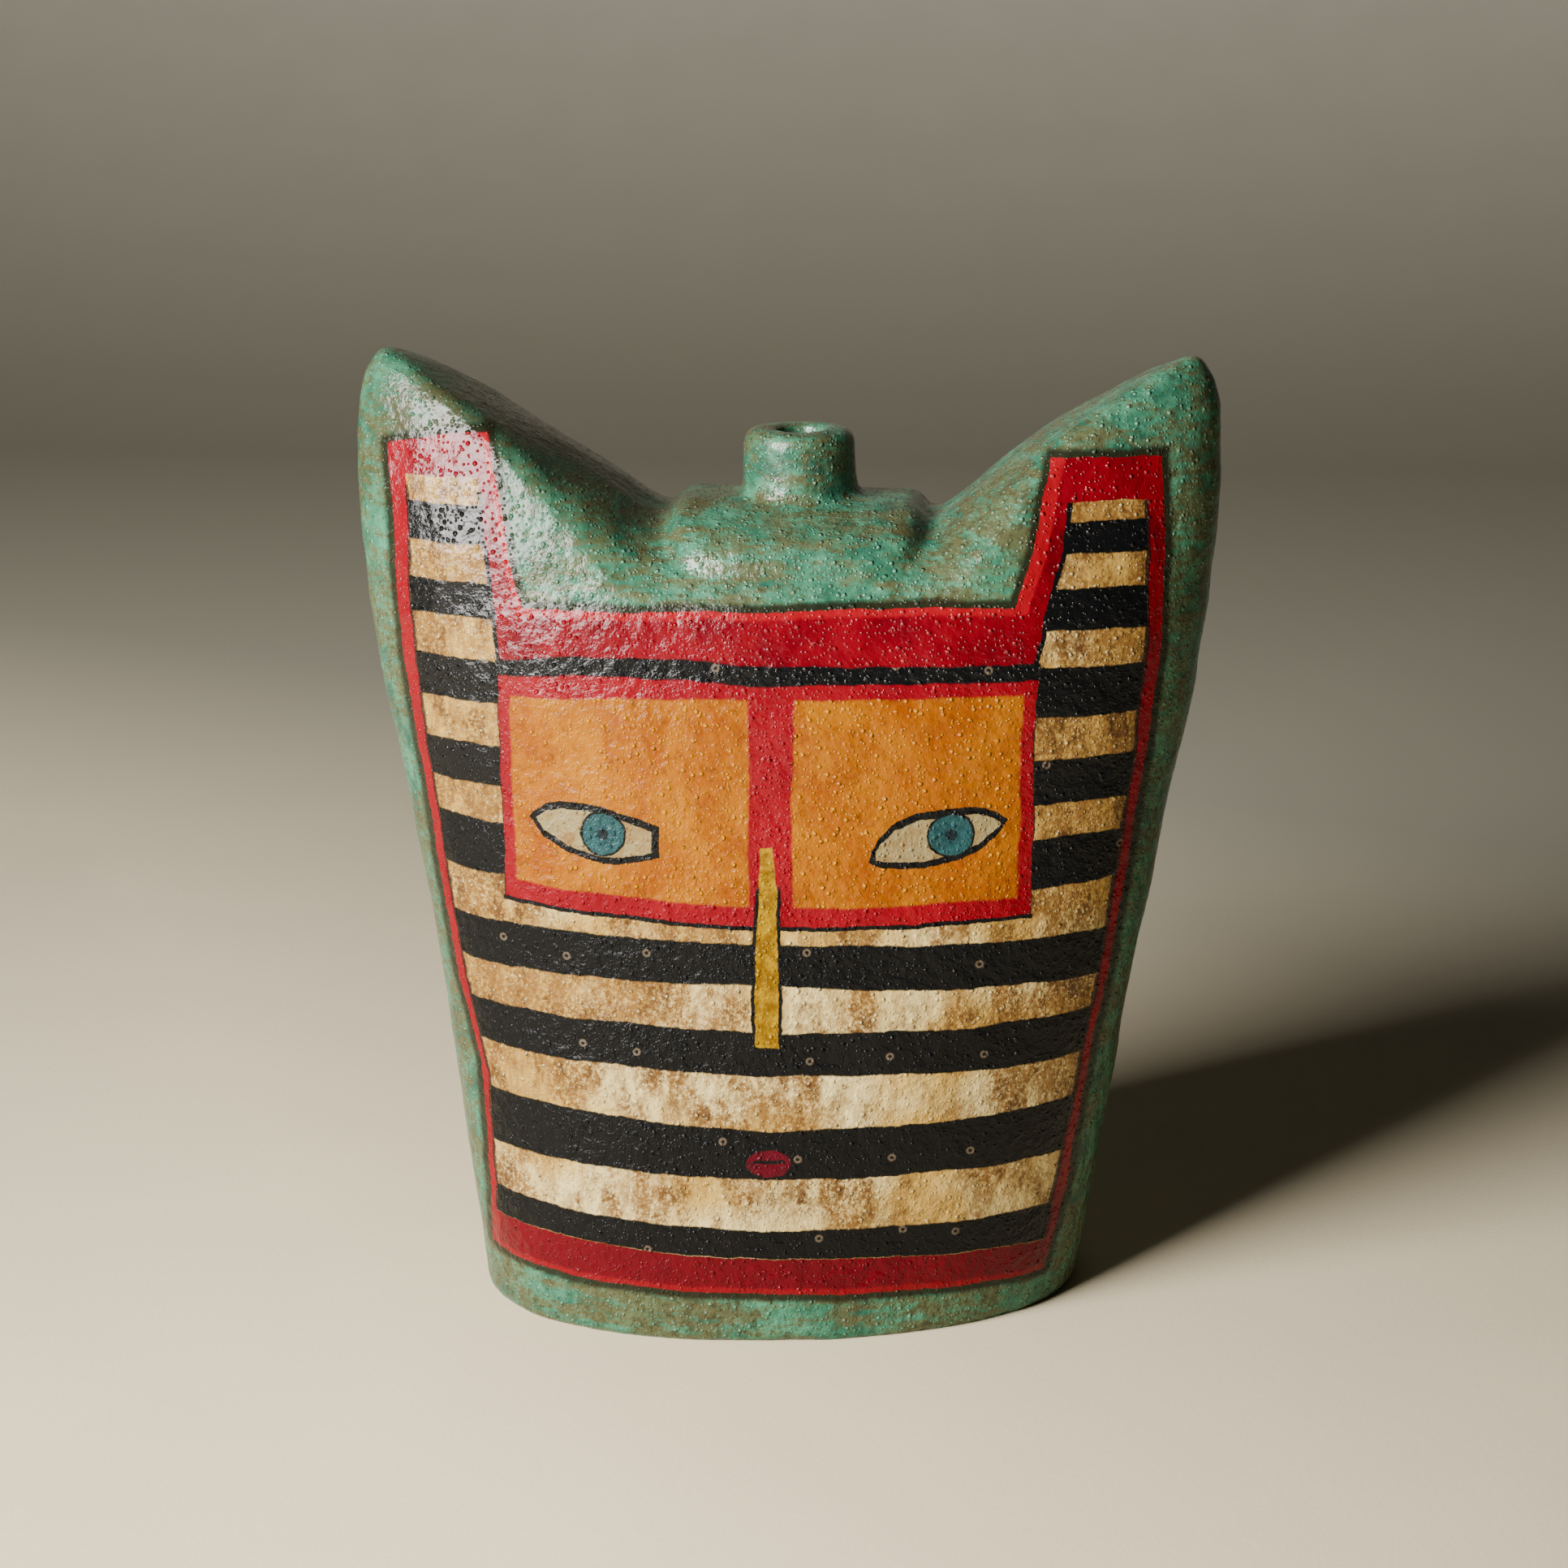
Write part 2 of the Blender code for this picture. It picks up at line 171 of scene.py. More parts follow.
class Cut(Enum):
    """What a cutter leaves of a piece."""

    INSIDE = "INTERSECT"
    OUTSIDE = "DIFFERENCE"


def cut(thing: Thing, tool: Thing, keep: Cut) -> Thing:
    """Cut a closed mesh with a closed tool, and give the cut mesh back."""
    return applied(thing, "BOOLEAN", object=tool, operation=keep.value, solver="MANIFOLD")


def discard(things: Iterable[Thing]) -> None:
    """Remove helper objects."""
    for thing in list(things):
        bpy.data.objects.remove(thing)


# Shader helpers ------------------------------------------------------------------------
class Tone:
    """A shader number that can be used in Python expressions."""

    def __init__(self, board: "Board", socket: bpy.types.NodeSocket | None) -> None:
        """Keep the socket and the board that it is on."""
        self.board = board
        self.socket = socket

    def _with(self, operation: str, first: object, second: object) -> "Tone":
        """Math node on two values."""
        return self.board.math(operation, first, second)

    def __add__(self, other: object) -> "Tone":
        """Sum."""
        return self._with("ADD", self, other)

    __radd__ = __add__

    def __sub__(self, other: object) -> "Tone":
        """Difference."""
        return self._with("SUBTRACT", self, other)

    def __rsub__(self, other: object) -> "Tone":
        """Difference from a plain number."""
        return self._with("SUBTRACT", other, self)

    def __mul__(self, other: object) -> "Tone":
        """Product."""
        return self._with("MULTIPLY", self, other)

    __rmul__ = __mul__

    def __truediv__(self, other: object) -> "Tone":
        """Quotient."""
        return self._with("DIVIDE", self, other)

    def __and__(self, other: object) -> "Tone":
        """Where both masks are on."""
        return self._with("MULTIPLY", self, other)

    def __or__(self, other: object) -> "Tone":
        """Where either mask is on."""
        return self._with("MAXIMUM", self, other)

    def __invert__(self) -> "Tone":
        """Where the mask is off."""
        return self._with("SUBTRACT", 1.0, self)


class Board:
    """A material's node tree, with short ways to add nodes."""

    def __init__(self, name: str) -> None:
        """Start a material of this name with an empty node tree."""
        self.material = bpy.data.materials.new(name)
        self.material.use_nodes = True
        self.tree = self.material.node_tree
        self.tree.nodes.clear()
        self.place = self.node("ShaderNodeTexCoord", output="Object")
        self.x, self.y, self.z = (
            way * (1 / MM) for way in self.split(self.place, "ShaderNodeSeparateXYZ"))

    def node(self, kind: str, settings: dict[str, object] | None = None,
             inputs: dict[int | str, object] | None = None, output: int | str = 0,
             setup: Callable[[bpy.types.Node], None] | None = None) -> Tone:
        """Add one node.

        Args:
            kind: the node's type.
            settings: the node's own values, set before its inputs.
            inputs: sockets by place or name, each a number, a colour or a Tone.
            output: the output wanted, by place or name.
            setup: sets what plain values can't, before the inputs.

        Returns:
            The wanted output, or an empty Tone from a node that has none.
        """
        made = self.tree.nodes.new(kind)
        for key, value in (settings or {}).items():
            setattr(made, key, value)
        if setup is not None:
            setup(made)
        for key, value in (inputs or {}).items():
            if isinstance(value, Tone):
                self.tree.links.new(value.socket, made.inputs[key])
            else:
                made.inputs[key].default_value = value
        return Tone(self, made.outputs[output] if made.outputs else None)

    def split(self, value: Tone, kind: str = "ShaderNodeSeparateColor") -> list[Tone]:
        """Three parts of a colour or a vector."""
        parts = self.node(kind, inputs={0: value}).socket.node.outputs
        return [Tone(self, parts[i]) for i in range(3)]

    def math(self, operation: str, first: object, second: object = 0.0) -> Tone:
        """Math node on one or two values."""
        return self.node("ShaderNodeMath", {"operation": operation}, {0: first, 1: second})

    def above(self, value: Tone, edge: object, soft: float = 0.12) -> Tone:
        """Mask of where a value lies above an edge that is 2 * soft wide."""
        return self.node("ShaderNodeMapRange", {"interpolation_type": "SMOOTHSTEP"},
                         {0: value - edge, 1: -soft, 2: soft, 3: 0.0, 4: 1.0})

    def below(self, value: Tone, edge: object, soft: float = 0.12) -> Tone:
        """Mask of where a value lies below an edge."""
        return ~self.above(value, edge, soft)

    def within(self, value: Tone, low: object, high: object, soft: float = 0.12) -> Tone:
        """Mask of where a value lies between two edges."""
        return self.above(value, low, soft) & self.below(value, high, soft)

    def line(self, value: Tone, points: Points) -> Tone:
        """Height of an outline of straight runs, read at a value.

        Args:
            value: the place along the outline.
            points: the outline's own points, in order.

        Returns:
            The outline's height there.
        """
        low, high = points[0][0], points[-1][0]
        heights = [height for _, height in points]
        floor, top = min(heights) - 1.0, max(heights) + 1.0
        places = [((p - low) / (high - low), (h - floor) / (top - floor))
                  for p, h in points]

        def shape(made: bpy.types.Node) -> None:
            """Give the curve node the outline's points."""
            curve = made.mapping.curves[0]
            curve.points[0].location = places[0]
            curve.points[1].location = places[-1]
            for spot in places[1:-1]:
                curve.points.new(*spot)
            for point in curve.points:
                point.handle_type = "VECTOR"
            made.mapping.update()

        height = self.node("ShaderNodeFloatCurve", inputs={1: (value - low) / (high - low)},
                           setup=shape)
        return height * (top - floor) + floor

    def noise(self, size: float, detail: float = 3.0, rough: float = 0.5,
              stretch: Triple | None = None, shift: float = 0.0,
              output: str = "Fac") -> Tone:
        """Cloudy noise.

        Args:
            size: its features' size in millimetres.
            detail: octaves.
            rough: weight of the fine octaves.
            stretch: scale of the noise along each axis.
            shift: moves the noise, for a second pattern of the same size.
            output: Fac or Color.

        Returns:
            The noise.
        """
        place = self.node("ShaderNodeMapping", inputs={
            0: self.place, 1: (shift, shift * 0.7, shift * 1.3),
            3: stretch or (1.0, 1.0, 1.0)})
        return self.node("ShaderNodeTexNoise", inputs={
            "Vector": place, "Scale": 1 / (size * MM), "Detail": detail,
            "Roughness": rough}, output=output)

    def cells(self, size: float) -> Tone:
        """Distance from the middles of scattered cells of a size in millimetres."""
        return self.node("ShaderNodeTexVoronoi", {"feature": "F1"}, {
            "Vector": self.place, "Scale": 1 / (size * MM)}, output="Distance")

    def dome(self, distance: Tone, radius: float) -> Tone:
        """Rounded top of each cell, where the distance is less than the radius."""
        return self.node("ShaderNodeMapRange", {"interpolation_type": "SMOOTHERSTEP"},
                         {0: distance, 1: radius, 2: 0.0, 3: 0.0, 4: 1.0})

    def ramp(self, value: Tone, low: float, high: float) -> Tone:
        """Value stretched so that low becomes 0 and high becomes 1."""
        return self.node("ShaderNodeMapRange", {"clamp": True},
                         {0: value, 1: low, 2: high, 3: 0.0, 4: 1.0})

    def mix(self, mask: object, under: object, over: object) -> Tone:
        """Lay the colour `over` on the colour `under` where the mask is on."""
        pair = [(*c, 1.0) if isinstance(c, tuple) else c for c in (under, over)]
        return self.node("ShaderNodeMix", {"data_type": "RGBA"},
                         {0: mask, 6: pair[0], 7: pair[1]}, output=2)

    def finish(self, colour: Tone, roughness: object,
               bumps: Sequence[tuple[Tone, float]], specular: float = 0.5,
               glossy: tuple[Tone, float] | None = None) -> bpy.types.Material:
        """Close the material.

        Args:
            colour: base colour.
            roughness: number or Tone.
            bumps: pairs of height, from 0 to 1, and depth in millimetres.
            specular: specular level.
            glossy: mask of a glossier part and its specular level, if there is one.

        Returns:
            The material.
        """
        normal = None
        for height, depth in bumps:
            sockets = {"Height": height, "Strength": 1.0, "Distance": depth * MM}
            if normal is not None:
                sockets["Normal"] = normal
            normal = self.node("ShaderNodeBump", inputs=sockets)
        shader = self.skin(colour, roughness, normal, specular)
        if glossy is not None:
            mask, level = glossy
            shader = self.node("ShaderNodeMixShader", inputs={
                0: mask, 1: shader, 2: self.skin(colour, roughness, normal, level)})
        self.node("ShaderNodeOutputMaterial", inputs={"Surface": shader})
        return self.material

    def skin(self, colour: Tone, roughness: object, normal: Tone, specular: float) -> Tone:
        """Principled shader of one specular level."""
        return self.node("ShaderNodeBsdfPrincipled", inputs={
            "Base Color": colour, "Roughness": roughness, "Normal": normal,
            "Specular IOR Level": specular})


# Finishes ------------------------------------------------------------------------------
@dataclass(frozen=True)
class PebbleGlaze:
    """Glossy glaze that has drawn thin over coarse grog clay."""

    teal: Colour = (0.034, 0.148, 0.086)
    pale: Colour = (0.092, 0.300, 0.178)
    deep: Colour = (0.010, 0.062, 0.042)
    rub: Colour = (0.098, 0.060, 0.018)
    soot_and_shade: Colour = (0.016, 0.012, 0.005)
    # bead: the stones' tops, lighter where the glaze is thin and partly as a painted
    # highlight
    bead: Colour = (0.150, 0.400, 0.260)
    # painted shade over the left ear's roof, which faces away from the light: its middle,
    # and how far it reaches in mm
    roof_shade_at: Triple = (-0.047, 0.010, 0.184)
    roof_shade_reach: float = 46.0    # mm
    roughness: float = 0.15
    shine: float = 0.44           # specular level
    pebble: float = 2.1           # mm between the larger stones
    grit: float = 1.00            # mm between the finer ones
    skin_depth: float = 0.72      # mm: uneven skin under the stones
    pebble_depth: float = 0.33    # mm: the larger stones stand this high
    grit_depth: float = 0.19      # mm
    calm: Pair = (96.0, 152.0)    # mm up: the skin grows calmer

    def colour(self, board: Board) -> Tone:
        """Mottled green rubbed to brown in streaks; stone tops lighter (thin glaze, partly
        painted highlight); painted shade on the left ear's roof.
        """
        broad = board.ramp(board.noise(24.0, 4.0, 0.6), 0.38, 0.62)
        patch = board.ramp(board.noise(5.0, 5.0, 0.7, shift=3.0), 0.42, 0.62)
        tone = board.mix(broad * 0.8 + 0.1, self.deep, self.teal)
        tone = board.mix(patch * 0.5, tone, self.pale)
        streak = board.noise(3.0, 6.0, 0.74, stretch=(0.34, 0.6, 1.5), shift=11.0)
        where = board.ramp(board.noise(17.0, 3.0, 0.55, shift=5.0), 0.40, 0.60)
        speck = board.noise(1.3, 4.0, 0.75, shift=13.0)
        rubbed = board.ramp(streak + where * 0.12 + speck * 0.35, 0.670, 0.810)
        tone = board.mix(rubbed * 0.66, tone, self.rub)
        dregs = board.ramp(speck + where * 0.05, 0.53, 0.68)
        tone = board.mix(dregs * 0.55, tone, self.soot_and_shade)
        # stone tops lighter: thin glaze, and partly a painted highlight
        tone = board.mix(self.crests(board) * 0.55, tone, self.bead)
        # painted shade: a soot-dark patch laid over the left ear's roof
        reach = board.node("ShaderNodeVectorMath", {"operation": "DISTANCE"},
                           {0: board.place, 1: self.roof_shade_at}, output="Value")
        roof_shade = board.ramp(reach * (1 / MM) + (speck - 0.5) * 30.0,
                            self.roof_shade_reach, 20.0)
        return board.mix(roof_shade * 0.85, tone, self.soot_and_shade)

    def grog(self, board: Board) -> tuple[Tone, Tone]:
        """Domes of the larger and of the finer stones, from 0 to 1."""
        return (board.dome(board.cells(self.pebble), 0.31),
                board.dome(board.cells(self.grit), 0.38))

    def crests(self, board: Board) -> Tone:
        """Mask of the stones' tops, where the glaze lies thin; the lighter colour laid
        there is partly a painted highlight.
        """
        stones, sand = self.grog(board)
        return board.ramp(stones | sand * 0.9, 0.30, 0.85)

    def bumps(self, board: Board, strength: float = 1.0) -> list[tuple[Tone, float]]:
        """Heights of the grog under the glaze, each with its depth in millimetres."""
        skin = board.noise(2.4, 4.0, 0.58, shift=17.0)
        skin = skin * (1.0 - board.ramp(board.z, *self.calm) * 0.55)
        stones, sand = self.grog(board)
        return [(skin, self.skin_depth * strength),
                (stones, self.pebble_depth * strength),
                (sand, self.grit_depth * strength)]

    def dullness(self, board: Board) -> Tone:
        """Roughness, a little uneven."""
        return board.noise(3.0, 3.0, 0.6, shift=23.0) * 0.12 + self.roughness

    def material(self, name: str) -> bpy.types.Material:
        """Whole material, under the given name."""
        board = Board(name)
        return board.finish(self.colour(board), self.dullness(board),
                            self.bumps(board, 1.3), self.shine)


@dataclass(frozen=True)
class Eye:
    """Outline of one almond eye, in millimetres on the pot."""

    top: Points                   # upper lid
    foot: Points                  # lower lid
    iris: Pair                    # its middle
    end: float                    # X where the eye stops


@dataclass(frozen=True)
class FacePaint:
    """The painted front: red border, striped bands, eye panels, nose and mouth.

    Outlines are in millimetres on the pot: X across, Z up.
    """

    glaze: PebbleGlaze = PebbleGlaze()
    red: Colour = (0.170, 0.0002, 0.0066)
    crimson: Colour = (0.078, 0.0002, 0.0046)
    flame: Colour = (0.320, 0.0040, 0.0100)
    cream: Colour = (0.660, 0.540, 0.245)
    straw: Colour = (0.440, 0.270, 0.052)
    tan: Colour = (0.185, 0.088, 0.021)
    umber: Colour = (0.062, 0.024, 0.008)
    orange: Colour = (0.250, 0.064, 0.0001)
    amber: Colour = (0.340, 0.120, 0.0001)
    rust: Colour = (0.190, 0.034, 0.0001)
    black: Colour = (0.0036, 0.0040, 0.0046)
    grime: Colour = (0.012, 0.012, 0.006)
    iris: Colour = (0.010, 0.041, 0.045)
    gold: Colour = (0.300, 0.170, 0.0002)
    lips: Colour = (0.075, 0.0015, 0.0080)
    # ivory, tangerine and bright_gold colour the stones' tops: thin glaze, partly painted
    # highlight
    ivory: Colour = (0.800, 0.680, 0.360)          # crests of the cream
    tangerine: Colour = (0.640, 0.300, 0.001)      # crests of the orange
    burnt: Colour = (0.100, 0.026, 0.001)
    ash: Colour = (0.030, 0.028, 0.024)
    bubble: Colour = (0.160, 0.120, 0.080)
    eye_white: Colour = (0.235, 0.185, 0.085)
    pale_iris: Colour = (0.030, 0.108, 0.115)
    dark_iris: Colour = (0.010, 0.035, 0.050)
    pupil: Colour = (0.006, 0.012, 0.016)
    old_gold: Colour = (0.120, 0.050, 0.001)
    bright_gold: Colour = (0.620, 0.400, 0.004)    # crests of the gold

    outer_left: Points = ((8, -59.9), (38, -60.1), (54, -61.2), (71, -66.3), (92, -69.8),
                          (114, -72.9), (139, -76.4), (156, -77.4), (172, -78.5),
                          (186, -79.9))
    outer_right: Points = ((8, 55.4), (28, 60.2), (57, 64.2), (83, 68.8), (118, 73.2),
                           (126, 74.5), (143, 75.9), (166, 76.2), (186, 75.2))
    inner_left: Points = ((8, -58.0), (38, -58.6), (53, -59.6), (72, -64.6), (92, -67.7),
                          (115, -70.8), (140, -73.4), (156, -74.3), (186, -75.6))
    inner_right: Points = ((8, 54.0), (30, 58.1), (57, 62.5), (84, 66.9), (123, 71.5),
                           (143, 73.0), (172, 72.7), (186, 72.4))
    ear_left: Points = ((148, -49.6), (152, -50.3), (158.5, -52.3), (168, -54.1),
                        (178, -56.6), (188, -59.2))
    ear_right: Points = ((148, 46.6), (153, 47.5), (160, 49.7), (171, 51.8), (181, 53.9),
                         (188, 55.2))
    column_left: Points = ((84, -54.1), (99, -54.3), (118, -54.6), (133, -55.1),
                           (141, -55.6), (149, -56.2), (158, -57.4), (167, -58.9),
                           (180, -60.4))
    column_right: Points = ((84, 51.6), (128, 51.7), (142, 51.9), (146, 53.2),
                            (154, 54.6), (163, 56.7), (180, 58.8))
    ear_top_left: Points = ((-90, 178.6), (-79.5, 180.6), (-68, 183.0), (-50, 184.8))
    ear_top_right: float = 180.8
    column_top_left: float = 175.0
    column_top_right: float = 172.6
    forehead: Points = ((-60, 150.6), (-40, 151.0), (0, 152.3), (24, 152.9), (60, 153.0))
    brow_top: Points = ((-60, 140.0), (-54, 140.6), (-40, 142.4), (-16, 142.6),
                        (0, 141.8), (60, 141.8))
    brow_foot: Points = ((-60, 136.8), (-40, 138.7), (-16, 138.5), (0, 137.8),
                         (24, 138.4), (60, 138.7))
    panel_foot: Points = ((-60, 91.3), (-41, 90.2), (-16, 89.2), (0, 88.7), (25, 89.2),
                          (60, 90.9))
    panel_top_left: Points = ((-56, 133.0), (-30, 134.4), (0, 135.4))
    panel_top_right: Points = ((0, 135.0), (56, 136.0))
    panel_lift: float = 4.6       # the frame's width under the eye panels
    panel_sides: Pair = (2.4, 2.6)
    panel_gap: Pair = (-4.0, 4.6)                  # the frame beside the nose
    ladder_left: Points = ((162.6, 169.8), (148.2, 155.2), (131.2, 139.9),
                           (114.4, 122.8), (96.0, 107.0))
    ladder_right: Points = ((162.8, 169.0), (147.9, 156.2), (131.0, 140.9),
                            (113.4, 122.4), (96.2, 106.5))
    hem_foot: Points = ((-62, 13.6), (-30, 11.9), (0, 11.0), (30, 10.2), (62, 8.6))
    hem_top: Points = ((-62, 21.9), (0, 18.8), (62, 16.3))
    stripes: Sequence[tuple[Points, Points]] = (
        (((-70, 76.6), (0, 77.3), (70, 75.6)), ((-70, 86.2), (0, 85.8), (70, 85.8))),
        (((-70, 59.6), (0, 58.5), (70, 58.4)), ((-70, 68.6), (0, 67.6), (70, 68.4))),
        (((-64, 38.0), (0, 36.2), (64, 36.6)), ((-64, 50.0), (0, 46.5), (64, 49.0))),
        (hem_top, ((-62, 28.0), (0, 25.1), (62, 24.4))))

    left_eye: Eye = Eye(
        top=((-49, 108.4), (-48, 109.8), (-45.2, 111.9), (-42, 112.7), (-33.6, 112.5),
             (-28.7, 111.2), (-20, 108.2)),
        foot=((-49, 109.2), (-47.3, 107.4), (-45.6, 105.3), (-40.5, 102.4),
              (-33.7, 100.8), (-29.6, 100.8), (-25.4, 101.8), (-20, 103.6)),
        iris=(-33.4, 106.9), end=-22.2)
    right_eye: Eye = Eye(
        top=((19.4, 102.6), (20.2, 105.0), (21.8, 107.8), (24.9, 110.7), (29.6, 112.8),
             (35, 113.7), (40.4, 113.5), (44.3, 112.4), (47, 110.6)),
        foot=((19.4, 102.8), (20.6, 101.8), (24.4, 101.4), (31, 101.7), (37.4, 103.1),
              (42, 105.2), (45, 107.8), (47, 110.9)),
        iris=(35.7, 108.2), end=47.0)
    eye_line: float = 1.55
    iris_radius: float = 4.2
    iris_ring: Pair = (1.25, 1.75)
    pupil_radius: float = 1.15
    nose_half: Points = ((62, 2.35), (80, 2.3), (96, 1.8), (105, 1.25), (108, 1.0))
    nose_middle: float = -0.3
    nose_foot: float = 64.7
    nose_top: float = 105.6
    mouth: Pair = (0.0, 39.7)
    mouth_size: Pair = (4.5, 2.9)
    bubble_pitch: Pair = (16.0, 20.0)
    bubble_start: float = 12.5    # Z of the lowest row's foot
    bubble_drift: Pair = (6.0, 5.0)
    bubble_ring: Pair = (0.38, 0.82)
    waver: float = 1.7            # slow drift of the brush
    fray: float = 0.75            # ragged edges
    plain_level: float = 0.13     # specular level of the thin glaze below
    thick_level: float = 0.28     # specular level of the thick glaze above
    thick: Pair = (90.0, 150.0)   # Z: the glaze thickens

    def material(self, name: str) -> bpy.types.Material:
        """Whole material of every piece that the paint crosses.

        Args:
            name: the material's name.

        Returns:
            The material.
        """
        board = Board(name)
        slow = board.split(board.noise(14.0, 2.0, 0.5, shift=31.0, output="Color"))
        quick = board.split(board.noise(1.7, 2.0, 0.6, shift=37.0, output="Color"))
        across, up = ((slow[i] - 0.5) * self.waver + (quick[i] - 0.5) * self.fray
                      for i in range(2))
        canvas = Canvas(board, self, board.x + across, board.z + up)
        front = board.below(board.y, 0.0, 0.2)
        green = self.glaze.colour(board)
        green = board.mix(front & canvas.soiled, green, self.grime)
        colour = board.mix(front & canvas.painted, green, canvas.colour())
        return board.finish(colour, self.glaze.dullness(board), self.glaze.bumps(board),
                            self.plain_level,
                            (board.ramp(board.z, *self.thick), self.thick_level))


class Canvas:
    """Masks and colours of the painted front."""

    def __init__(self, board: Board, paint: FacePaint, x: Tone, z: Tone) -> None:
        """Work out the masks that several coats share.

        Args:
            board: the material's node board.
            paint: the colours and outlines.
            x: place across the face, with a hand's waver.
            z: place up the face, with a hand's waver.
        """
        self.board, self.paint, self.x, self.z = board, paint, x, z
        self.crests = paint.glaze.crests(board)
        line = board.line
        self.forehead = line(x, paint.forehead)
        self.ear_left = line(z, paint.ear_left)
        self.ear_right = line(z, paint.ear_right)
        self.outer_left = line(z, paint.outer_left)
        self.outer_right = line(z, paint.outer_right)
        self.ear_top_left = line(x, paint.ear_top_left)
        self.hem_foot = line(x, paint.hem_foot)
        self.painted = self.ground(0.0, 0.12)
        self.soiled = self.ground(1.6, 0.7) * 0.95
        self.inner_left = line(z, paint.inner_left)
        self.inner_right = line(z, paint.inner_right)
        self.inside = board.within(x, self.inner_left, self.inner_right)
        self.column_left = line(z, paint.column_left)
        self.column_right = line(z, paint.column_right)
        self.panel_foot = line(x, paint.panel_foot)
        self.middle = board.within(x, self.column_left, self.column_right)

    def ground(self, spread: float, soft: float) -> Tone:
        """Mask of the whole painted front.

        Args:
            spread: how far it reaches past the paint, in millimetres.
            soft: half the width of its edge.

        Returns:
            The mask.
        """
        board = self.board
        sides = board.within(self.x, self.outer_left - spread, self.outer_right + spread,
                             soft)
        face = board.below(self.z, self.forehead + spread, soft)
        left = board.below(self.x, self.ear_left + spread, soft) & board.below(
            self.z, self.ear_top_left + spread, soft)
        right = board.above(self.x, self.ear_right - spread, soft) & board.below(
            self.z, self.paint.ear_top_right + spread, soft)
        return sides & board.above(self.z, self.hem_foot - spread, soft) & (
            face | left | right)

    def colour(self) -> Tone:
        """All coats, laid one over another."""
        tone = self.panels(self.bands(self.border()))
        for eye in (self.paint.left_eye, self.paint.right_eye):
            tone = self.eye(tone, eye)
        return self.lips(self.nose(tone))

    def border(self) -> Tone:
        """Red ground, crimson where it lies thick and flame red along its edge."""
        board, paint = self.board, self.paint
        cloud = board.ramp(board.noise(9.0, 4.0, 0.6, shift=41.0), 0.36, 0.66)
        tone = board.mix(cloud * 0.8, paint.red, paint.crimson)
        # flame red on the stones' tops: thin glaze, partly painted highlight
        tone = board.mix(self.crests * 0.35, tone, paint.flame)
        tone = board.mix(board.below(self.z, 24.0, 5.0) * 0.7, tone, paint.crimson)
        rim = board.within(self.z, self.forehead - 1.2, self.forehead + 1.0, 0.35)
        rim = rim & board.within(self.x, self.ear_left - 1.0, self.ear_right + 1.0, 0.5)
        ears = (board.above(self.x, self.ear_left - 1.3, 0.4) & board.below(self.x, 0.0)
                | board.below(self.x, self.ear_right + 2.8, 0.4) & board.above(self.x, 0.0))
        rim = rim | (ears & board.above(self.z, self.forehead - 1.5, 0.5))
        left = board.below(self.x, self.inner_left + 0.6, 0.3)
        right = board.above(self.x, self.outer_right - 1.1, 0.3)
        foot = board.below(self.z, self.hem_foot + 1.2, 0.4)
        return board.mix((rim * 0.65 | left * 0.25 | right * 0.1 | foot * 0.35), tone,
                         paint.flame)

    def old_cream(self) -> Tone:
        """Cream slip, stained tan and umber in blocks and streaks."""
        board, paint = self.board, self.paint
        blocks = board.noise(13.0, 3.0, 0.55, stretch=(1.0, 1.0, 0.45), shift=43.0)
        streaks = board.noise(2.6, 5.0, 0.72, stretch=(1.0, 1.0, 0.30), shift=47.0)
        grain = board.noise(0.9, 3.0, 0.7, shift=49.0)
        patches = board.noise(5.0, 4.0, 0.62, stretch=(1.0, 1.0, 0.7), shift=44.0)
        away = board.math("ABSOLUTE", self.x - 4.0)
        side = away * 0.0016 + board.ramp(away, 46.0, 60.0) * 0.07
        warm = board.ramp(board.noise(22.0, 2.0, 0.5, shift=46.0) + side, 0.44, 0.62)
        stain = board.ramp(blocks + patches * 0.5 + side, 0.69, 0.87)
        tone = board.mix(warm * 0.9, paint.cream, paint.straw)
        tone = board.mix(board.ramp(streaks + grain * 0.3, 0.58, 0.80) * 0.55, tone,
                         paint.tan)
        tone = board.mix(stain & board.ramp(grain + streaks * 0.5, 0.50, 0.80) * 0.95,
                         tone, paint.tan)
        blot = board.ramp(patches * 0.7 + grain * 0.3, 0.50, 0.64) & stain
        tone = board.mix(blot * 0.85, tone, paint.umber)
        # ivory on the stones' tops: thin glaze, partly painted highlight
        return board.mix(self.crests * 0.45, tone, paint.ivory)

    def bands(self, tone: Tone) -> Tone:
        """Striped columns up both cheeks and stripes across the jaw."""
        board, paint = self.board, self.paint
        jaw = board.below(self.z, self.panel_foot) & board.above(
            self.z, board.line(self.x, paint.hem_top))
        outside = ~self.middle & ~board.below(self.z, self.panel_foot - 1.0)
        left = outside & board.below(self.x, 0.0) & board.below(
            self.z, paint.column_top_left)
        right = outside & board.above(self.x, 0.0) & board.below(
            self.z, paint.column_top_right)
        ground = self.inside & (jaw | left | right)
        tone = board.mix(ground, tone, self.old_cream())
        bars = None
        for rungs, half in ((paint.ladder_left, left), (paint.ladder_right, right)):
            for low, high in rungs:
                rung = board.within(self.z, low, high, 0.2) & half
                bars = rung if bars is None else bars | rung
        for foot, top in paint.stripes:
            bars = bars | (self.strip(foot, top, 0.2) & jaw)
        rails = (board.within(self.x, self.column_left - 0.2, self.column_left + 0.7)
                 | board.within(self.x, self.column_right - 0.8, self.column_right + 0.2))
        rails = rails & board.within(self.z, self.panel_foot, paint.column_top_right)
        inner = (board.within(self.x, self.inner_left - 0.3, self.inner_left + 0.4)
                 | board.within(self.x, self.inner_right - 0.5, self.inner_right + 0.4))
        inner = inner & board.below(self.z, paint.column_top_right) & board.above(
            self.z, board.line(self.x, paint.hem_top))
        return board.mix((bars & self.inside) | rails | inner * 0.85, tone, self.sooty())

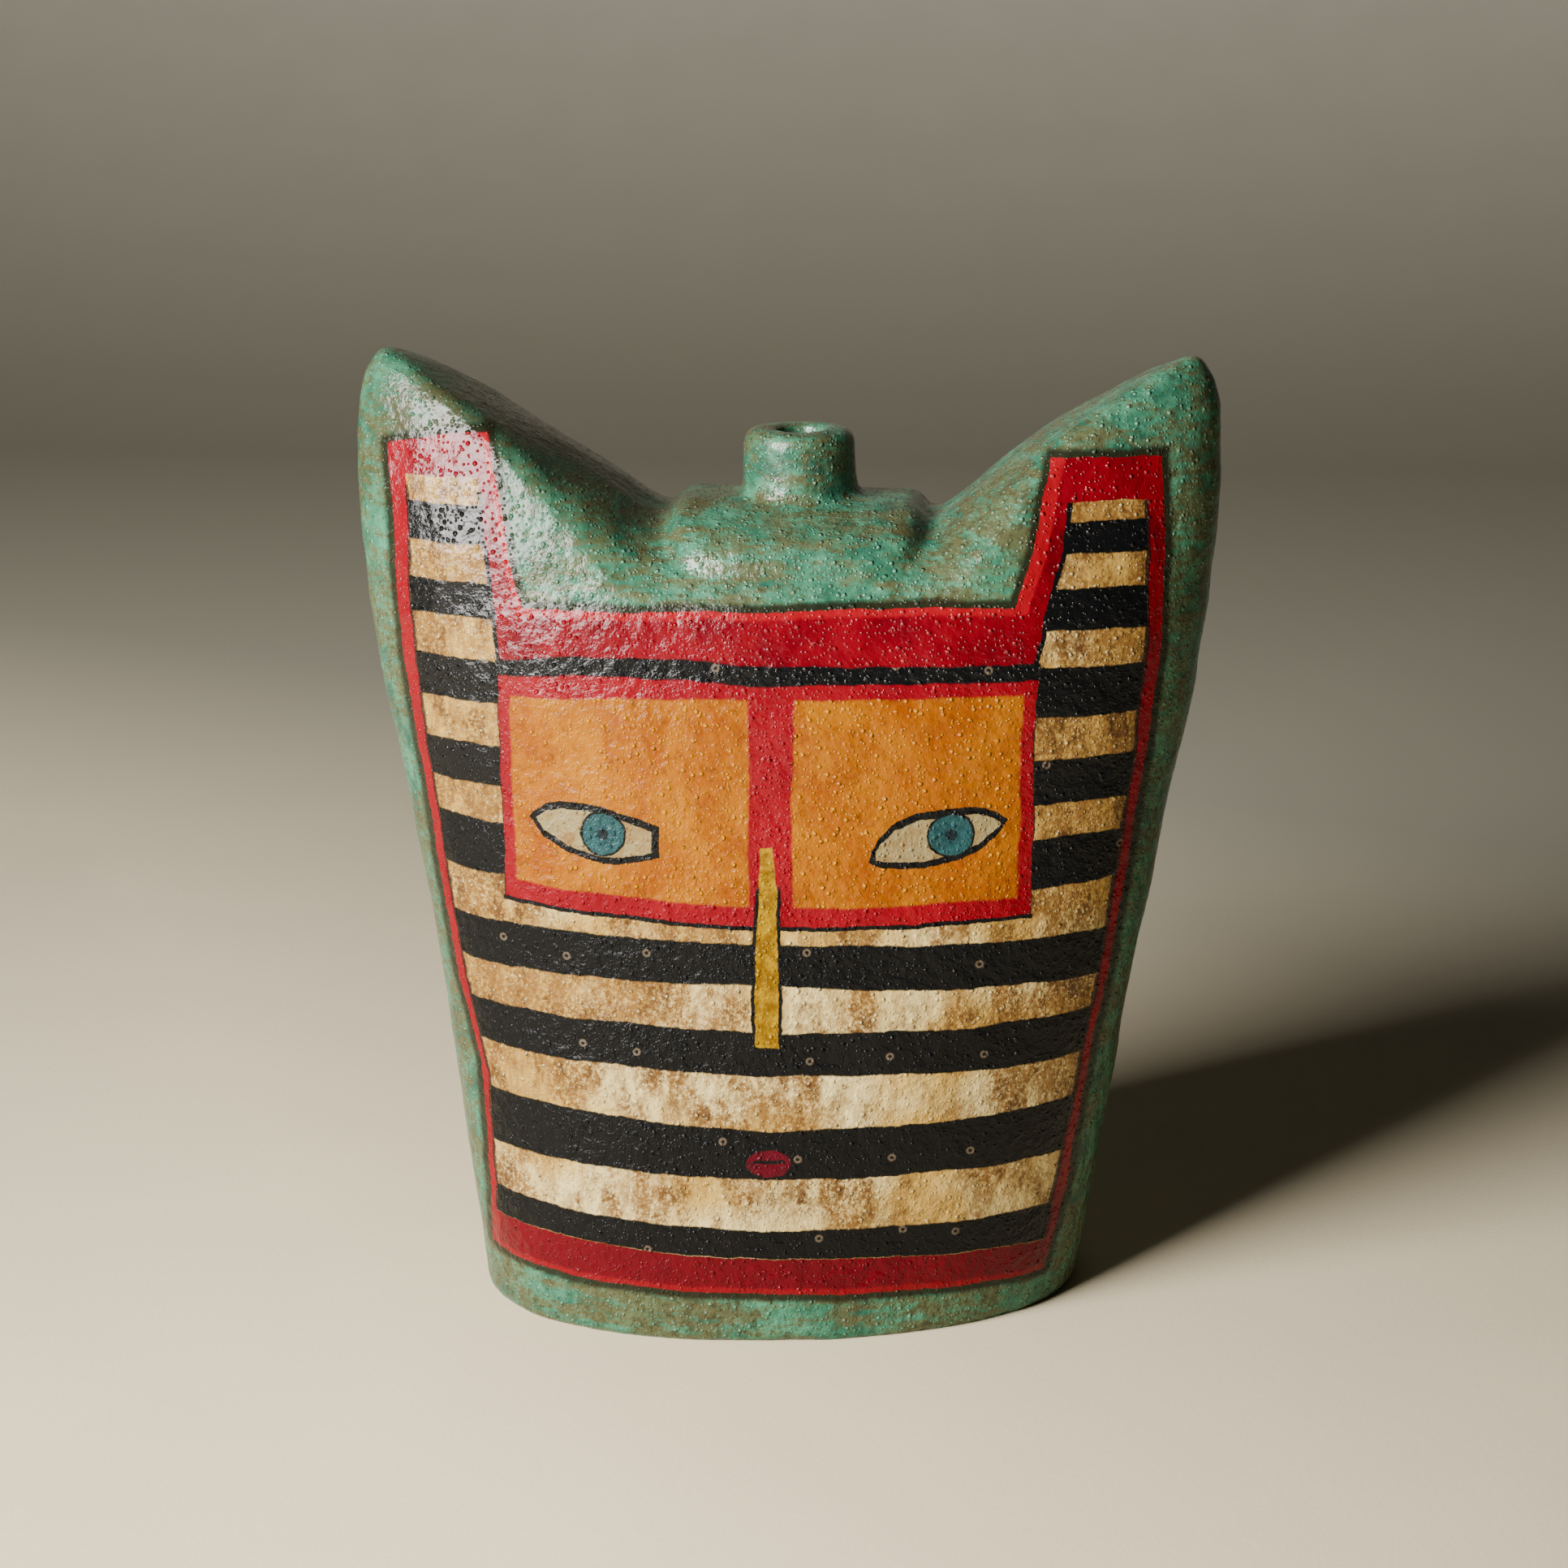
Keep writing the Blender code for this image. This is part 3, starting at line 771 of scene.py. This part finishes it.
    def sooty(self) -> Tone:
        """Black slip with rows of pale burst bubbles."""
        board, paint = self.board, self.paint
        wide, tall = paint.bubble_pitch
        column = board.math("FLOOR", self.x / wide)
        row = board.math("FLOOR", (self.z - paint.bubble_start) / tall)
        seed = board.node("ShaderNodeCombineXYZ", inputs={0: column, 1: row})
        luck = board.split(board.node(
            "ShaderNodeTexWhiteNoise", {"noise_dimensions": "2D"}, {0: seed},
            output="Color"))
        middle = (column * wide + wide / 2, row * tall + (paint.bubble_start + tall / 2))
        across, up = (place - spot - (chance - 0.5) * drift for place, spot, chance, drift
                      in zip((board.x, board.z), middle, luck, paint.bubble_drift))
        ring = board.within(board.math("SQRT", across * across + up * up),
                            *paint.bubble_ring, 0.14)
        fleck = board.ramp(board.noise(0.8, 4.0, 0.8, shift=53.0), 0.60, 0.72)
        tone = board.mix(fleck * 0.35, paint.black, paint.ash)
        burst = ring & board.above(luck[2], 0.50, 0.01)
        return board.mix(burst * 0.55, tone, paint.bubble)

    def panels(self, tone: Tone) -> Tone:
        """Orange eye panels in their red frames, under the black brow line."""
        board, paint = self.board, self.paint
        cloud = board.ramp(board.noise(11.0, 5.0, 0.62, shift=59.0), 0.38, 0.64)
        fleck = board.ramp(board.noise(1.8, 3.0, 0.6, shift=61.0), 0.42, 0.62)
        # painted shade: the orange is less amber towards the right, away from the light
        right_painted_shade = board.ramp(self.x, -20.0, 55.0)
        orange = board.mix(cloud * 0.9 & ~(right_painted_shade * 0.6), paint.orange, paint.amber)
        orange = board.mix((~cloud & fleck) * 0.6, orange, paint.rust)
        burnt = board.ramp(board.noise(1.9, 5.0, 0.78, shift=65.0), 0.53, 0.70)
        orange = board.mix(burnt * 0.75, orange, paint.burnt)
        # tangerine on the stones' tops: thin glaze, partly painted highlight
        orange = board.mix(self.crests * 0.70, orange, paint.tangerine)
        foot = self.panel_foot + paint.panel_lift
        left, right = (
            board.within(self.x, low, high, 0.35)
            & board.within(self.z, foot, board.line(self.x, top), 0.35)
            for low, high, top in (
                (self.column_left + paint.panel_sides[0], paint.panel_gap[0],
                 paint.panel_top_left),
                (paint.panel_gap[1], self.column_right - paint.panel_sides[1],
                 paint.panel_top_right)))
        frame = self.middle & board.within(self.z, self.panel_foot,
                                           board.line(self.x, paint.brow_foot))
        tone = board.mix(frame * 0.85, tone,
                         board.mix(cloud * 0.30, paint.red, paint.flame))
        tone = board.mix(left | right, tone, orange)
        brow = self.strip(paint.brow_foot, paint.brow_top, 0.25)
        sill = board.within(self.z, self.panel_foot - 0.2, self.panel_foot + 0.7)
        dark = board.within(self.x, self.column_left - 0.5, self.column_right + 0.5) & (
            brow | sill)
        return board.mix(dark, tone, self.sooty())

    def strip(self, foot: Points, top: Points, soft: float = 0.12) -> Tone:
        """Mask between two outlines that run across the face."""
        board = self.board
        return board.within(self.z, board.line(self.x, foot), board.line(self.x, top), soft)

    def round_spot(self, centre: Pair) -> Tone:
        """Distance from a point of the face, in millimetres."""
        across = self.x - centre[0]
        up = self.z - centre[1]
        return self.board.math("SQRT", across * across + up * up)

    def eye(self, tone: Tone, shape: Eye) -> Tone:
        """One almond eye, laid over the colour below it."""
        board, paint = self.board, self.paint
        upper, lower = board.line(self.x, shape.top), board.line(self.x, shape.foot)
        start, gap = shape.top[0][0], paint.eye_line
        span = board.within(self.x, start, shape.end)
        almond = span & board.within(self.z, lower, upper)
        ball = board.within(self.x, start + gap, shape.end - gap) & board.within(
            self.z, lower + gap * 0.9, upper - gap)
        tone = board.mix(almond, tone, paint.black)
        stain = board.ramp(board.noise(3.0, 4.0, 0.6, shift=67.0), 0.46, 0.70)
        white = board.mix(stain * 0.80, paint.eye_white, paint.tan)
        tone = board.mix(ball, tone, white)
        reach = self.round_spot(shape.iris)
        lids = span & board.within(self.z, lower + 0.5, upper - 0.6)
        tone = board.mix(board.below(reach, paint.iris_radius + 0.45) & lids, tone,
                         paint.black)
        shade = board.ramp(board.noise(1.4, 3.0, 0.6, shift=71.0), 0.35, 0.70)
        blue = board.mix(shade * 0.5, paint.iris, paint.pale_iris)
        tone = board.mix(board.below(reach, paint.iris_radius) & lids, tone, blue)
        ring = board.within(reach, *paint.iris_ring, 0.2)
        tone = board.mix(ring * 0.45, tone, paint.dark_iris)
        return board.mix(board.below(reach, paint.pupil_radius, 0.2), tone, paint.pupil)

    def nose(self, tone: Tone) -> Tone:
        """Gold bar with black edges."""
        board, paint = self.board, self.paint
        away = board.math("ABSOLUTE", self.x - paint.nose_middle)
        half = board.line(self.z, paint.nose_half)
        tall = board.within(self.z, paint.nose_foot, paint.nose_top)
        edge = board.below(away, half + 0.75) & board.within(
            self.z, paint.nose_foot + 0.8, paint.nose_top - 8.0, 1.0)
        tone = board.mix(edge, tone, paint.black)
        mottle = board.ramp(board.noise(2.4, 4.0, 0.65, shift=73.0), 0.40, 0.60)
        gold = board.mix(mottle * 0.85, paint.gold, paint.old_gold)
        # bright gold on the stones' tops: thin glaze, partly painted highlight
        gold = board.mix(self.crests * 0.5, gold, paint.bright_gold)
        return board.mix(board.below(away, half) & tall, tone, gold)

    def lips(self, tone: Tone) -> Tone:
        """Small oval mouth with a dark line across it."""
        board, paint = self.board, self.paint
        across = (self.x - paint.mouth[0]) / paint.mouth_size[0]
        up = (self.z - paint.mouth[1]) / paint.mouth_size[1]
        reach = board.math("SQRT", across * across + up * up)
        worn = board.ramp(board.noise(1.3, 3.0, 0.7, shift=79.0), 0.50, 0.70)
        lips = board.mix(worn * 0.5, paint.lips, paint.black)
        tone = board.mix(board.below(reach, 1.0, 0.05), tone, lips)
        slit = board.within(self.z, paint.mouth[1] + 0.1, paint.mouth[1] + 0.8, 0.15)
        return board.mix(slit & board.below(reach, 0.75, 0.04), tone, paint.black)


@dataclass(frozen=True)
class BareClay:
    """Unglazed fired grog clay."""

    body: Colour = (0.330, 0.200, 0.115)
    dark: Colour = (0.170, 0.095, 0.055)

    def material(self, name: str) -> bpy.types.Material:
        """Whole material, under the given name."""
        board = Board(name)
        grains = board.ramp(board.noise(1.2, 3.0, 0.6), 0.40, 0.66)
        colour = board.mix(grains * 0.6, self.body, self.dark)
        return board.finish(colour, 0.85, [(board.noise(0.9, 3.0, 0.6), 0.2)])


@dataclass(frozen=True)
class Paper:
    """Plain pale backdrop paper, painted with a fall-off of light: darker where it recedes
    and to the sides, lighter up the wall.
    """

    # near and far: the paper in light and in painted shade; wall: the upright paper,
    # lighter as painted light
    near: Colour = (0.880, 0.745, 0.500)
    far: Colour = (0.360, 0.340, 0.272)
    wall: Colour = (0.740, 0.710, 0.590)

    def material(self, name: str) -> bpy.types.Material:
        """Whole material, under the given name."""
        board = Board(name)
        # painted fall-off of light across the paper; the faint cloud after it is the
        # paper's own tone
        painted_falloff_back = board.ramp(board.y + board.x * 0.5, -150.0, 440.0)
        painted_falloff_side = board.ramp(board.math("ABSOLUTE", board.x - 10.0), 50.0, 260.0)
        colour = board.mix(painted_falloff_back | painted_falloff_side * 0.58, self.near, self.far)
        colour = board.mix(board.ramp(board.z, 0.0, 260.0), colour, self.wall)
        cloud = board.ramp(board.noise(45.0, 3.0, 0.5), 0.3, 0.7)
        colour = board.mix(cloud * 0.08, colour, self.far)
        return board.finish(colour, 0.75, [(board.noise(1.5, 3.0, 0.6), 0.05)],
                            specular=0.2)


# The pot -------------------------------------------------------------------------------
@dataclass
class ClayPot:
    """The fired pot: one skin over the slabs, parted again along their seams."""

    nodes: dict[str, Thing]
    shell: tuple[str, ...] = (
        "base_slab", "front_wall", "back_wall", "left_side_wall", "right_side_wall",
        "left_ear_roof", "right_ear_roof", "left_ear_tip", "right_ear_tip", "saddle_slab")
    close: float = 0.30           # mm: swells the slabs until their slip joints meet
    rough_grid: float = 1.0       # mm: first skin
    fine_grid: float = 0.60       # mm: finished skin
    hollow_grid: float = 2.2      # mm: skin of the hollow
    melt: int = 5                 # smoothing passes that soften the slabs' edges
    bore: Triple = (4.8, 140.0, 200.0)             # mm: radius, foot, top
    plug: Triple = (6.0, 152.0, 174.0)             # mm: closes the neck
    neck_reach: float = 1.2       # mm: glaze round the neck's slabs
    neck_grid: float = 0.8        # mm
    reliefs: tuple[tuple[str, float, float], ...] = (  # name, mm across, mm deep
        ("hand", 26.0, 1.2), ("thumb", 10.0, 0.45), ("grog", 1.8, 0.17))
    far: float = 110.0            # mm: cutters reach this far

    # Seams, in millimetres, as the slabs have them.
    saddle_shift: float = 3.0
    shifted_to: float = 44.0      # the shift reaches this far out along the top seam
    saddle_half: float = 29.5
    top_seam: Points = ((0, 154.0), (31, 155.0), (39, 161.5), (50, 173.0), (60, 182.0))
    ear_seam: Pair = (64.0, 187.0)
    side_seam: Points = ((52.5, 0.0), (76.0, 160.0))
    floor: float = 6.0
    pieces: dict[str, Thing] = field(default_factory=dict)

    def build(self) -> None:
        """Model the skin and part it into the slabs."""
        outer, hollow = self.skins()
        outer = self.worked(outer)
        cut(outer, hollow, Cut.OUTSIDE)
        bore = self.rod(*self.bore)
        cut(outer, bore, Cut.OUTSIDE)
        LOG.info("clay skin: %d faces", len(outer.data.polygons))
        for name in ("neck_collar", "neck_pad"):
            reach = welded_copy(self.nodes[name], name + "_reach")
            applied(reach, "DISPLACE", strength=self.neck_reach * MM, mid_level=0.0)
            applied(reach, "REMESH", mode="VOXEL", voxel_size=self.neck_grid * MM)
            piece = copy_of(outer, name + "_glazed")
            cut(piece, reach, Cut.INSIDE)
            cut(outer, reach, Cut.OUTSIDE)
            self.pieces[name] = piece
            discard([reach])
        self.part(outer)
        discard([outer, hollow, bore])

    def skins(self) -> tuple[Thing, Thing]:
        """One closed skin over all slabs, and the skin of the hollow inside.

        Returns:
            The outer skin and the hollow's skin, both facing outwards.
        """
        names = self.shell + ("neck_pad", "neck_collar")
        forms = [welded_copy(self.nodes[name], name + "_form") for name in names]
        forms.append(self.rod(*self.plug))
        for form in forms:
            applied(form, "DISPLACE", strength=self.close * MM, mid_level=0.0)
        hollow = self.hollow(forms)
        pick(*forms)
        bpy.ops.object.join()
        outer = bpy.context.view_layer.objects.active
        applied(outer, "REMESH", mode="VOXEL", voxel_size=self.rough_grid * MM)
        applied(outer, "SMOOTH", factor=0.5, iterations=self.melt)
        return outer, hollow

    def hollow(self, forms: Sequence[Thing]) -> Thing:
        """Shape of the air inside the closed slabs.

        Args:
            forms: the slabs, grown until they touch, and a plug for the neck.

        Returns:
            The hollow as a solid.
        """
        bpy.ops.object.select_all(action="DESELECT")
        bpy.ops.mesh.primitive_cube_add(size=4 * self.far * MM)
        block = bpy.context.view_layer.objects.active
        for form in forms:
            cut(block, form, Cut.OUTSIDE)
        pick(block)
        bpy.ops.mesh.separate(type="LOOSE")
        islands = sorted(bpy.context.selected_objects, key=lambda o: o.dimensions.length)
        hollow = islands[-3]  # after the block's own faces and the slabs' outside
        discard([piece for piece in islands if piece is not hollow])
        edited(hollow, face_outwards)
        applied(hollow, "REMESH", mode="VOXEL", voxel_size=self.hollow_grid * MM)
        LOG.info("hollow: %s", [round(size / MM) for size in hollow.dimensions])
        return hollow

    def worked(self, skin: Thing) -> Thing:
        """Press the smooth outer skin into finer, uneven, hand-worked grog clay."""
        applied(skin, "REMESH", mode="VOXEL", voxel_size=self.fine_grid * MM)
        applied(skin, "SMOOTH", factor=0.5, iterations=self.melt)
        for name, size, depth in self.reliefs:
            relief = bpy.data.textures.new(name + "_relief", "CLOUDS")
            relief.noise_scale = size * MM
            relief.noise_depth = 1
            applied(skin, "DISPLACE", texture=relief, texture_coords="LOCAL",
                    strength=depth * MM, mid_level=0.5)
        return skin

    def rod(self, radius: float, low: float, high: float) -> Thing:
        """Upright round cutter on the neck's axis, in millimetres."""
        bpy.ops.object.select_all(action="DESELECT")
        bpy.ops.mesh.primitive_cylinder_add(
            vertices=64, radius=radius * MM, depth=(high - low) * MM,
            location=(self.saddle_shift * MM, 0.0, (low + high) / 2 * MM))
        bpy.ops.object.transform_apply(location=True, rotation=True, scale=True)
        return bpy.context.view_layer.objects.active

    def prism(self, name: str, outline: Points, near: float,
              deep: float) -> Thing:
        """Closed prism on an X-Z outline, from Y near to Y deep, in millimetres."""
        bpy.ops.object.select_all(action="DESELECT")
        mesh = bpy.data.meshes.new(name)
        corners = [(x * MM, near * MM, z * MM) for x, z in outline]
        mesh.from_pydata(corners, [], [list(range(len(corners)))])
        made = bpy.data.objects.new(name, mesh)
        bpy.context.scene.collection.objects.link(made)
        push = {"value": (0.0, (deep - near) * MM, 0.0)}
        return edited(made, lambda: bpy.ops.mesh.extrude_region_move(
            TRANSFORM_OT_translate=push), face_outwards)

    def regions(self) -> dict[str, tuple[Points, float, float]]:
        """Each slab's X-Z outline, and the Y of its front and back.

        Returns:
            Outline, front and back by slab name.
        """
        far, (ear_x, ear_z) = self.far, self.ear_seam
        (low_x, _), (high_x, high_z) = self.side_seam
        foot_x = low_x + (high_x - low_x) * self.floor / high_z

        def seam(side: Side) -> list[Pair]:
            """Top seam from the saddle out to one ear."""
            return [(side.value * x + self.saddle_shift * (x < self.shifted_to), z)
                    for x, z in self.top_seam] + [(side.value * ear_x, ear_z)]

        left, right = seam(Side.LEFT), seam(Side.RIGHT)
        middle = right[0]
        face = [(-foot_x, self.floor), (foot_x, self.floor), (high_x, high_z),
                (high_x, ear_z)] + right[:0:-1] + [middle] + left[1:]
        face += [(-high_x, ear_z), (-high_x, high_z)]
        ends = (self.saddle_shift - self.saddle_half, self.saddle_shift + self.saddle_half)
        result: dict[str, tuple[Points, float, float]] = {
            "base_slab": (((-far, 0.0), (far, 0.0), (far, self.floor), (-far, self.floor)),
                          -far, far),
            "front_wall": (face, -far, 0.0),
            "back_wall": (face, 0.0, far),
            "saddle_slab": (((ends[0], left[1][1]), middle, (ends[1], right[1][1]),
                             (ends[1], 2 * far), (ends[0], 2 * far)), -far, far)}
        for word, side, top, inner in (("left", Side.LEFT, left, ends[0]),
                                       ("right", Side.RIGHT, right, ends[1])):
            s = side.value
            edge = [(inner, top[1][1])] + [p for p in top[1:] if abs(p[0]) > abs(inner)]
            result[word + "_ear_roof"] = (
                edge + [(s * ear_x, 2 * far), (inner, 2 * far)], -far, far)
            result[word + "_ear_tip"] = (
                ((s * ear_x, ear_z), (s * far, ear_z), (s * far, 2 * far),
                 (s * ear_x, 2 * far)), -far, far)
            result[word + "_side_wall"] = (
                ((s * foot_x, self.floor), (s * far, self.floor), (s * far, ear_z),
                 (s * high_x, ear_z), (s * high_x, high_z)), -far, far)
        return result

    def part(self, skin: Thing) -> None:
        """Cut the hollow pot's skin along the slabs' seams."""
        for name, (outline, near, deep) in self.regions().items():
            region = self.prism(name + "_region", outline, near, deep)
            piece = copy_of(skin, name + "_glazed")
            cut(piece, region, Cut.INSIDE)
            piece.data.validate()
            self.pieces[name] = piece
            discard([region])

    def dress(self, painted: bpy.types.Material, glazed: bpy.types.Material,
              slots: dict[str, str]) -> None:
        """Glaze each piece and hang it on the frame.

        Args:
            painted: material of the pieces that the paint crosses.
            glazed: material of the plain green pieces.
            slots: the record's material slot of each node; not used.
        """
        plain = ("back_wall", "neck_pad", "neck_collar", "saddle_slab")
        for name, piece in self.pieces.items():
            pick(piece)
            bpy.ops.object.shade_smooth_by_angle(angle=math.radians(50))
            piece.data.materials.clear()
            piece.data.materials.append(glazed if name in plain else painted)
            for face in piece.data.polygons:
                face.material_index = 0
            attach(piece, "root")
            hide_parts(name)
            LOG.info("%s: %d faces", piece.name, len(piece.data.polygons))


@dataclass
class InnerCoils:
    """Rolled clay pressed into the inner corners, left as the frame has them."""

    nodes: dict[str, Thing]

    def dress(self, clay: bpy.types.Material) -> None:
        """Give the coils bare clay."""
        for name, node in self.nodes.items():
            if name.endswith("coil"):
                node.data.materials.clear()
                node.data.materials.append(clay)
                LOG.info("%s: kept", name)


@dataclass(frozen=True)
class Softbox:
    """Rectangular soft light, in metres and watts."""

    name: str
    place: Triple
    aim: Triple
    size: Pair
    power: float
    tint: Colour

    def build(self) -> None:
        """Hang the light at its place, facing its aim."""
        data = bpy.data.lights.new(self.name, "AREA")
        data.shape = "RECTANGLE"
        data.size, data.size_y = self.size
        data.energy = self.power
        data.color = self.tint
        lamp = bpy.data.objects.new(self.name, data)
        lamp.location = self.place
        lamp.rotation_euler = (Vector(self.aim) - Vector(self.place)).to_track_quat(
            "-Z", "Y").to_euler()
        bpy.context.scene.collection.objects.link(lamp)


@dataclass
class Studio:
    """Floor, lights and camera."""

    target: Triple = (-0.0003, 0.0, 0.1085)
    distance: float = 0.655
    azimuth: float = 5.0
    elevation: float = 15.4
    lens: float = 72.2            # mm
    key: Softbox = Softbox("key_softbox", (-0.585, -0.60, 0.450), (0.0, 0.0, 0.10),
                           (0.46, 0.44), 31.0, (1.0, 0.97, 0.92))
    sky_tint: tuple[float, float, float, float] = (0.80, 0.78, 0.74, 1.0)
    sky_strength: float = 0.008
    sheet: Pair = (6.0, 4.0)      # m: flat paper
    sheet_y: float = -0.95        # m: its middle
    bend_steps: int = 8
    bend_reach: float = 0.16      # m: each step of the bend
    wall: float = 2.0             # m: upright paper

    def build(self) -> None:
        """Set up the floor, the lights, the sky and the camera."""
        self.floor()
        self.key.build()
        self.sky()
        self.camera()

    def floor(self) -> None:
        """Sweep of paper: flat under the pot and curving up behind it."""
        bpy.ops.object.select_all(action="DESELECT")
        bpy.ops.mesh.primitive_plane_add(size=1.0, location=(0.0, 0.0, 0.0))
        sweep = bpy.context.view_layer.objects.active
        sweep.name = "paper_sweep"
        sweep.scale = (*self.sheet, 1.0)
        sweep.location = (0.0, self.sheet_y, 0.0)
        bpy.ops.object.transform_apply(location=True, rotation=True, scale=True)
        bpy.ops.object.mode_set(mode="EDIT")
        bpy.ops.mesh.select_all(action="DESELECT")
        bpy.ops.object.mode_set(mode="OBJECT")
        back = max(vertex.co.y for vertex in sweep.data.vertices)
        for edge in sweep.data.edges:
            edge.select = all(sweep.data.vertices[i].co.y > back - 1e-4
                              for i in edge.vertices)
        bpy.ops.object.mode_set(mode="EDIT")
        for step in range(self.bend_steps):
            angle = math.radians(90 * (step + 0.5) / self.bend_steps)
            bpy.ops.mesh.extrude_region_move(TRANSFORM_OT_translate={"value": (
                0.0, math.cos(angle) * self.bend_reach, math.sin(angle) * self.bend_reach)})
        bpy.ops.mesh.extrude_region_move(
            TRANSFORM_OT_translate={"value": (0.0, 0.0, self.wall)})
        bpy.ops.object.mode_set(mode="OBJECT")
        sweep.data.shade_smooth()
        sweep.data.materials.append(Paper().material("backdrop_paper"))
        sweep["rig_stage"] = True

    def sky(self) -> None:
        """Dim even surroundings."""
        world = bpy.data.worlds.new("studio_sky")
        world.use_nodes = True
        ground = world.node_tree.nodes["Background"]
        ground.inputs["Color"].default_value = self.sky_tint
        ground.inputs["Strength"].default_value = self.sky_strength
        bpy.context.scene.world = world

    def camera(self) -> None:
        """Camera at the chosen viewing angle."""
        data = bpy.data.cameras.new("camera")
        data.lens = self.lens
        data.sensor_width = 36.0
        turn, rise = math.radians(self.azimuth), math.radians(self.elevation)
        back = Vector((math.sin(turn) * math.cos(rise), -math.cos(turn) * math.cos(rise),
                       math.sin(rise)))
        eye = bpy.data.objects.new("camera", data)
        eye.location = Vector(self.target) + back * self.distance
        eye.rotation_euler = (-back).to_track_quat("-Z", "Y").to_euler()
        bpy.context.scene.collection.objects.link(eye)
        bpy.context.scene.camera = eye


def corners(box: Sequence[Vector]) -> list[list[float]]:
    """Box as plain lists of numbers."""
    return [[float(value) for value in corner] for corner in box]


def main() -> None:
    """Build every piece around the frame."""
    logging.basicConfig(level=logging.INFO, format="%(name)s: %(message)s")
    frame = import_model()
    cad_box = corners(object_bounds())
    slots = {part["node"]: part["material_slot"] for part in frame["record"]["subparts"]}
    pot = ClayPot(frame["nodes"])
    pot.build()
    pot.dress(FacePaint().material("painted_glaze"), PebbleGlaze().material("green_glaze"),
              slots)
    InnerCoils(frame["nodes"]).dress(BareClay().material("bare_clay"))
    Studio().build()
    {"cad": cad_box, "visual": corners(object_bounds())}


if __name__ == "__main__":
    main()
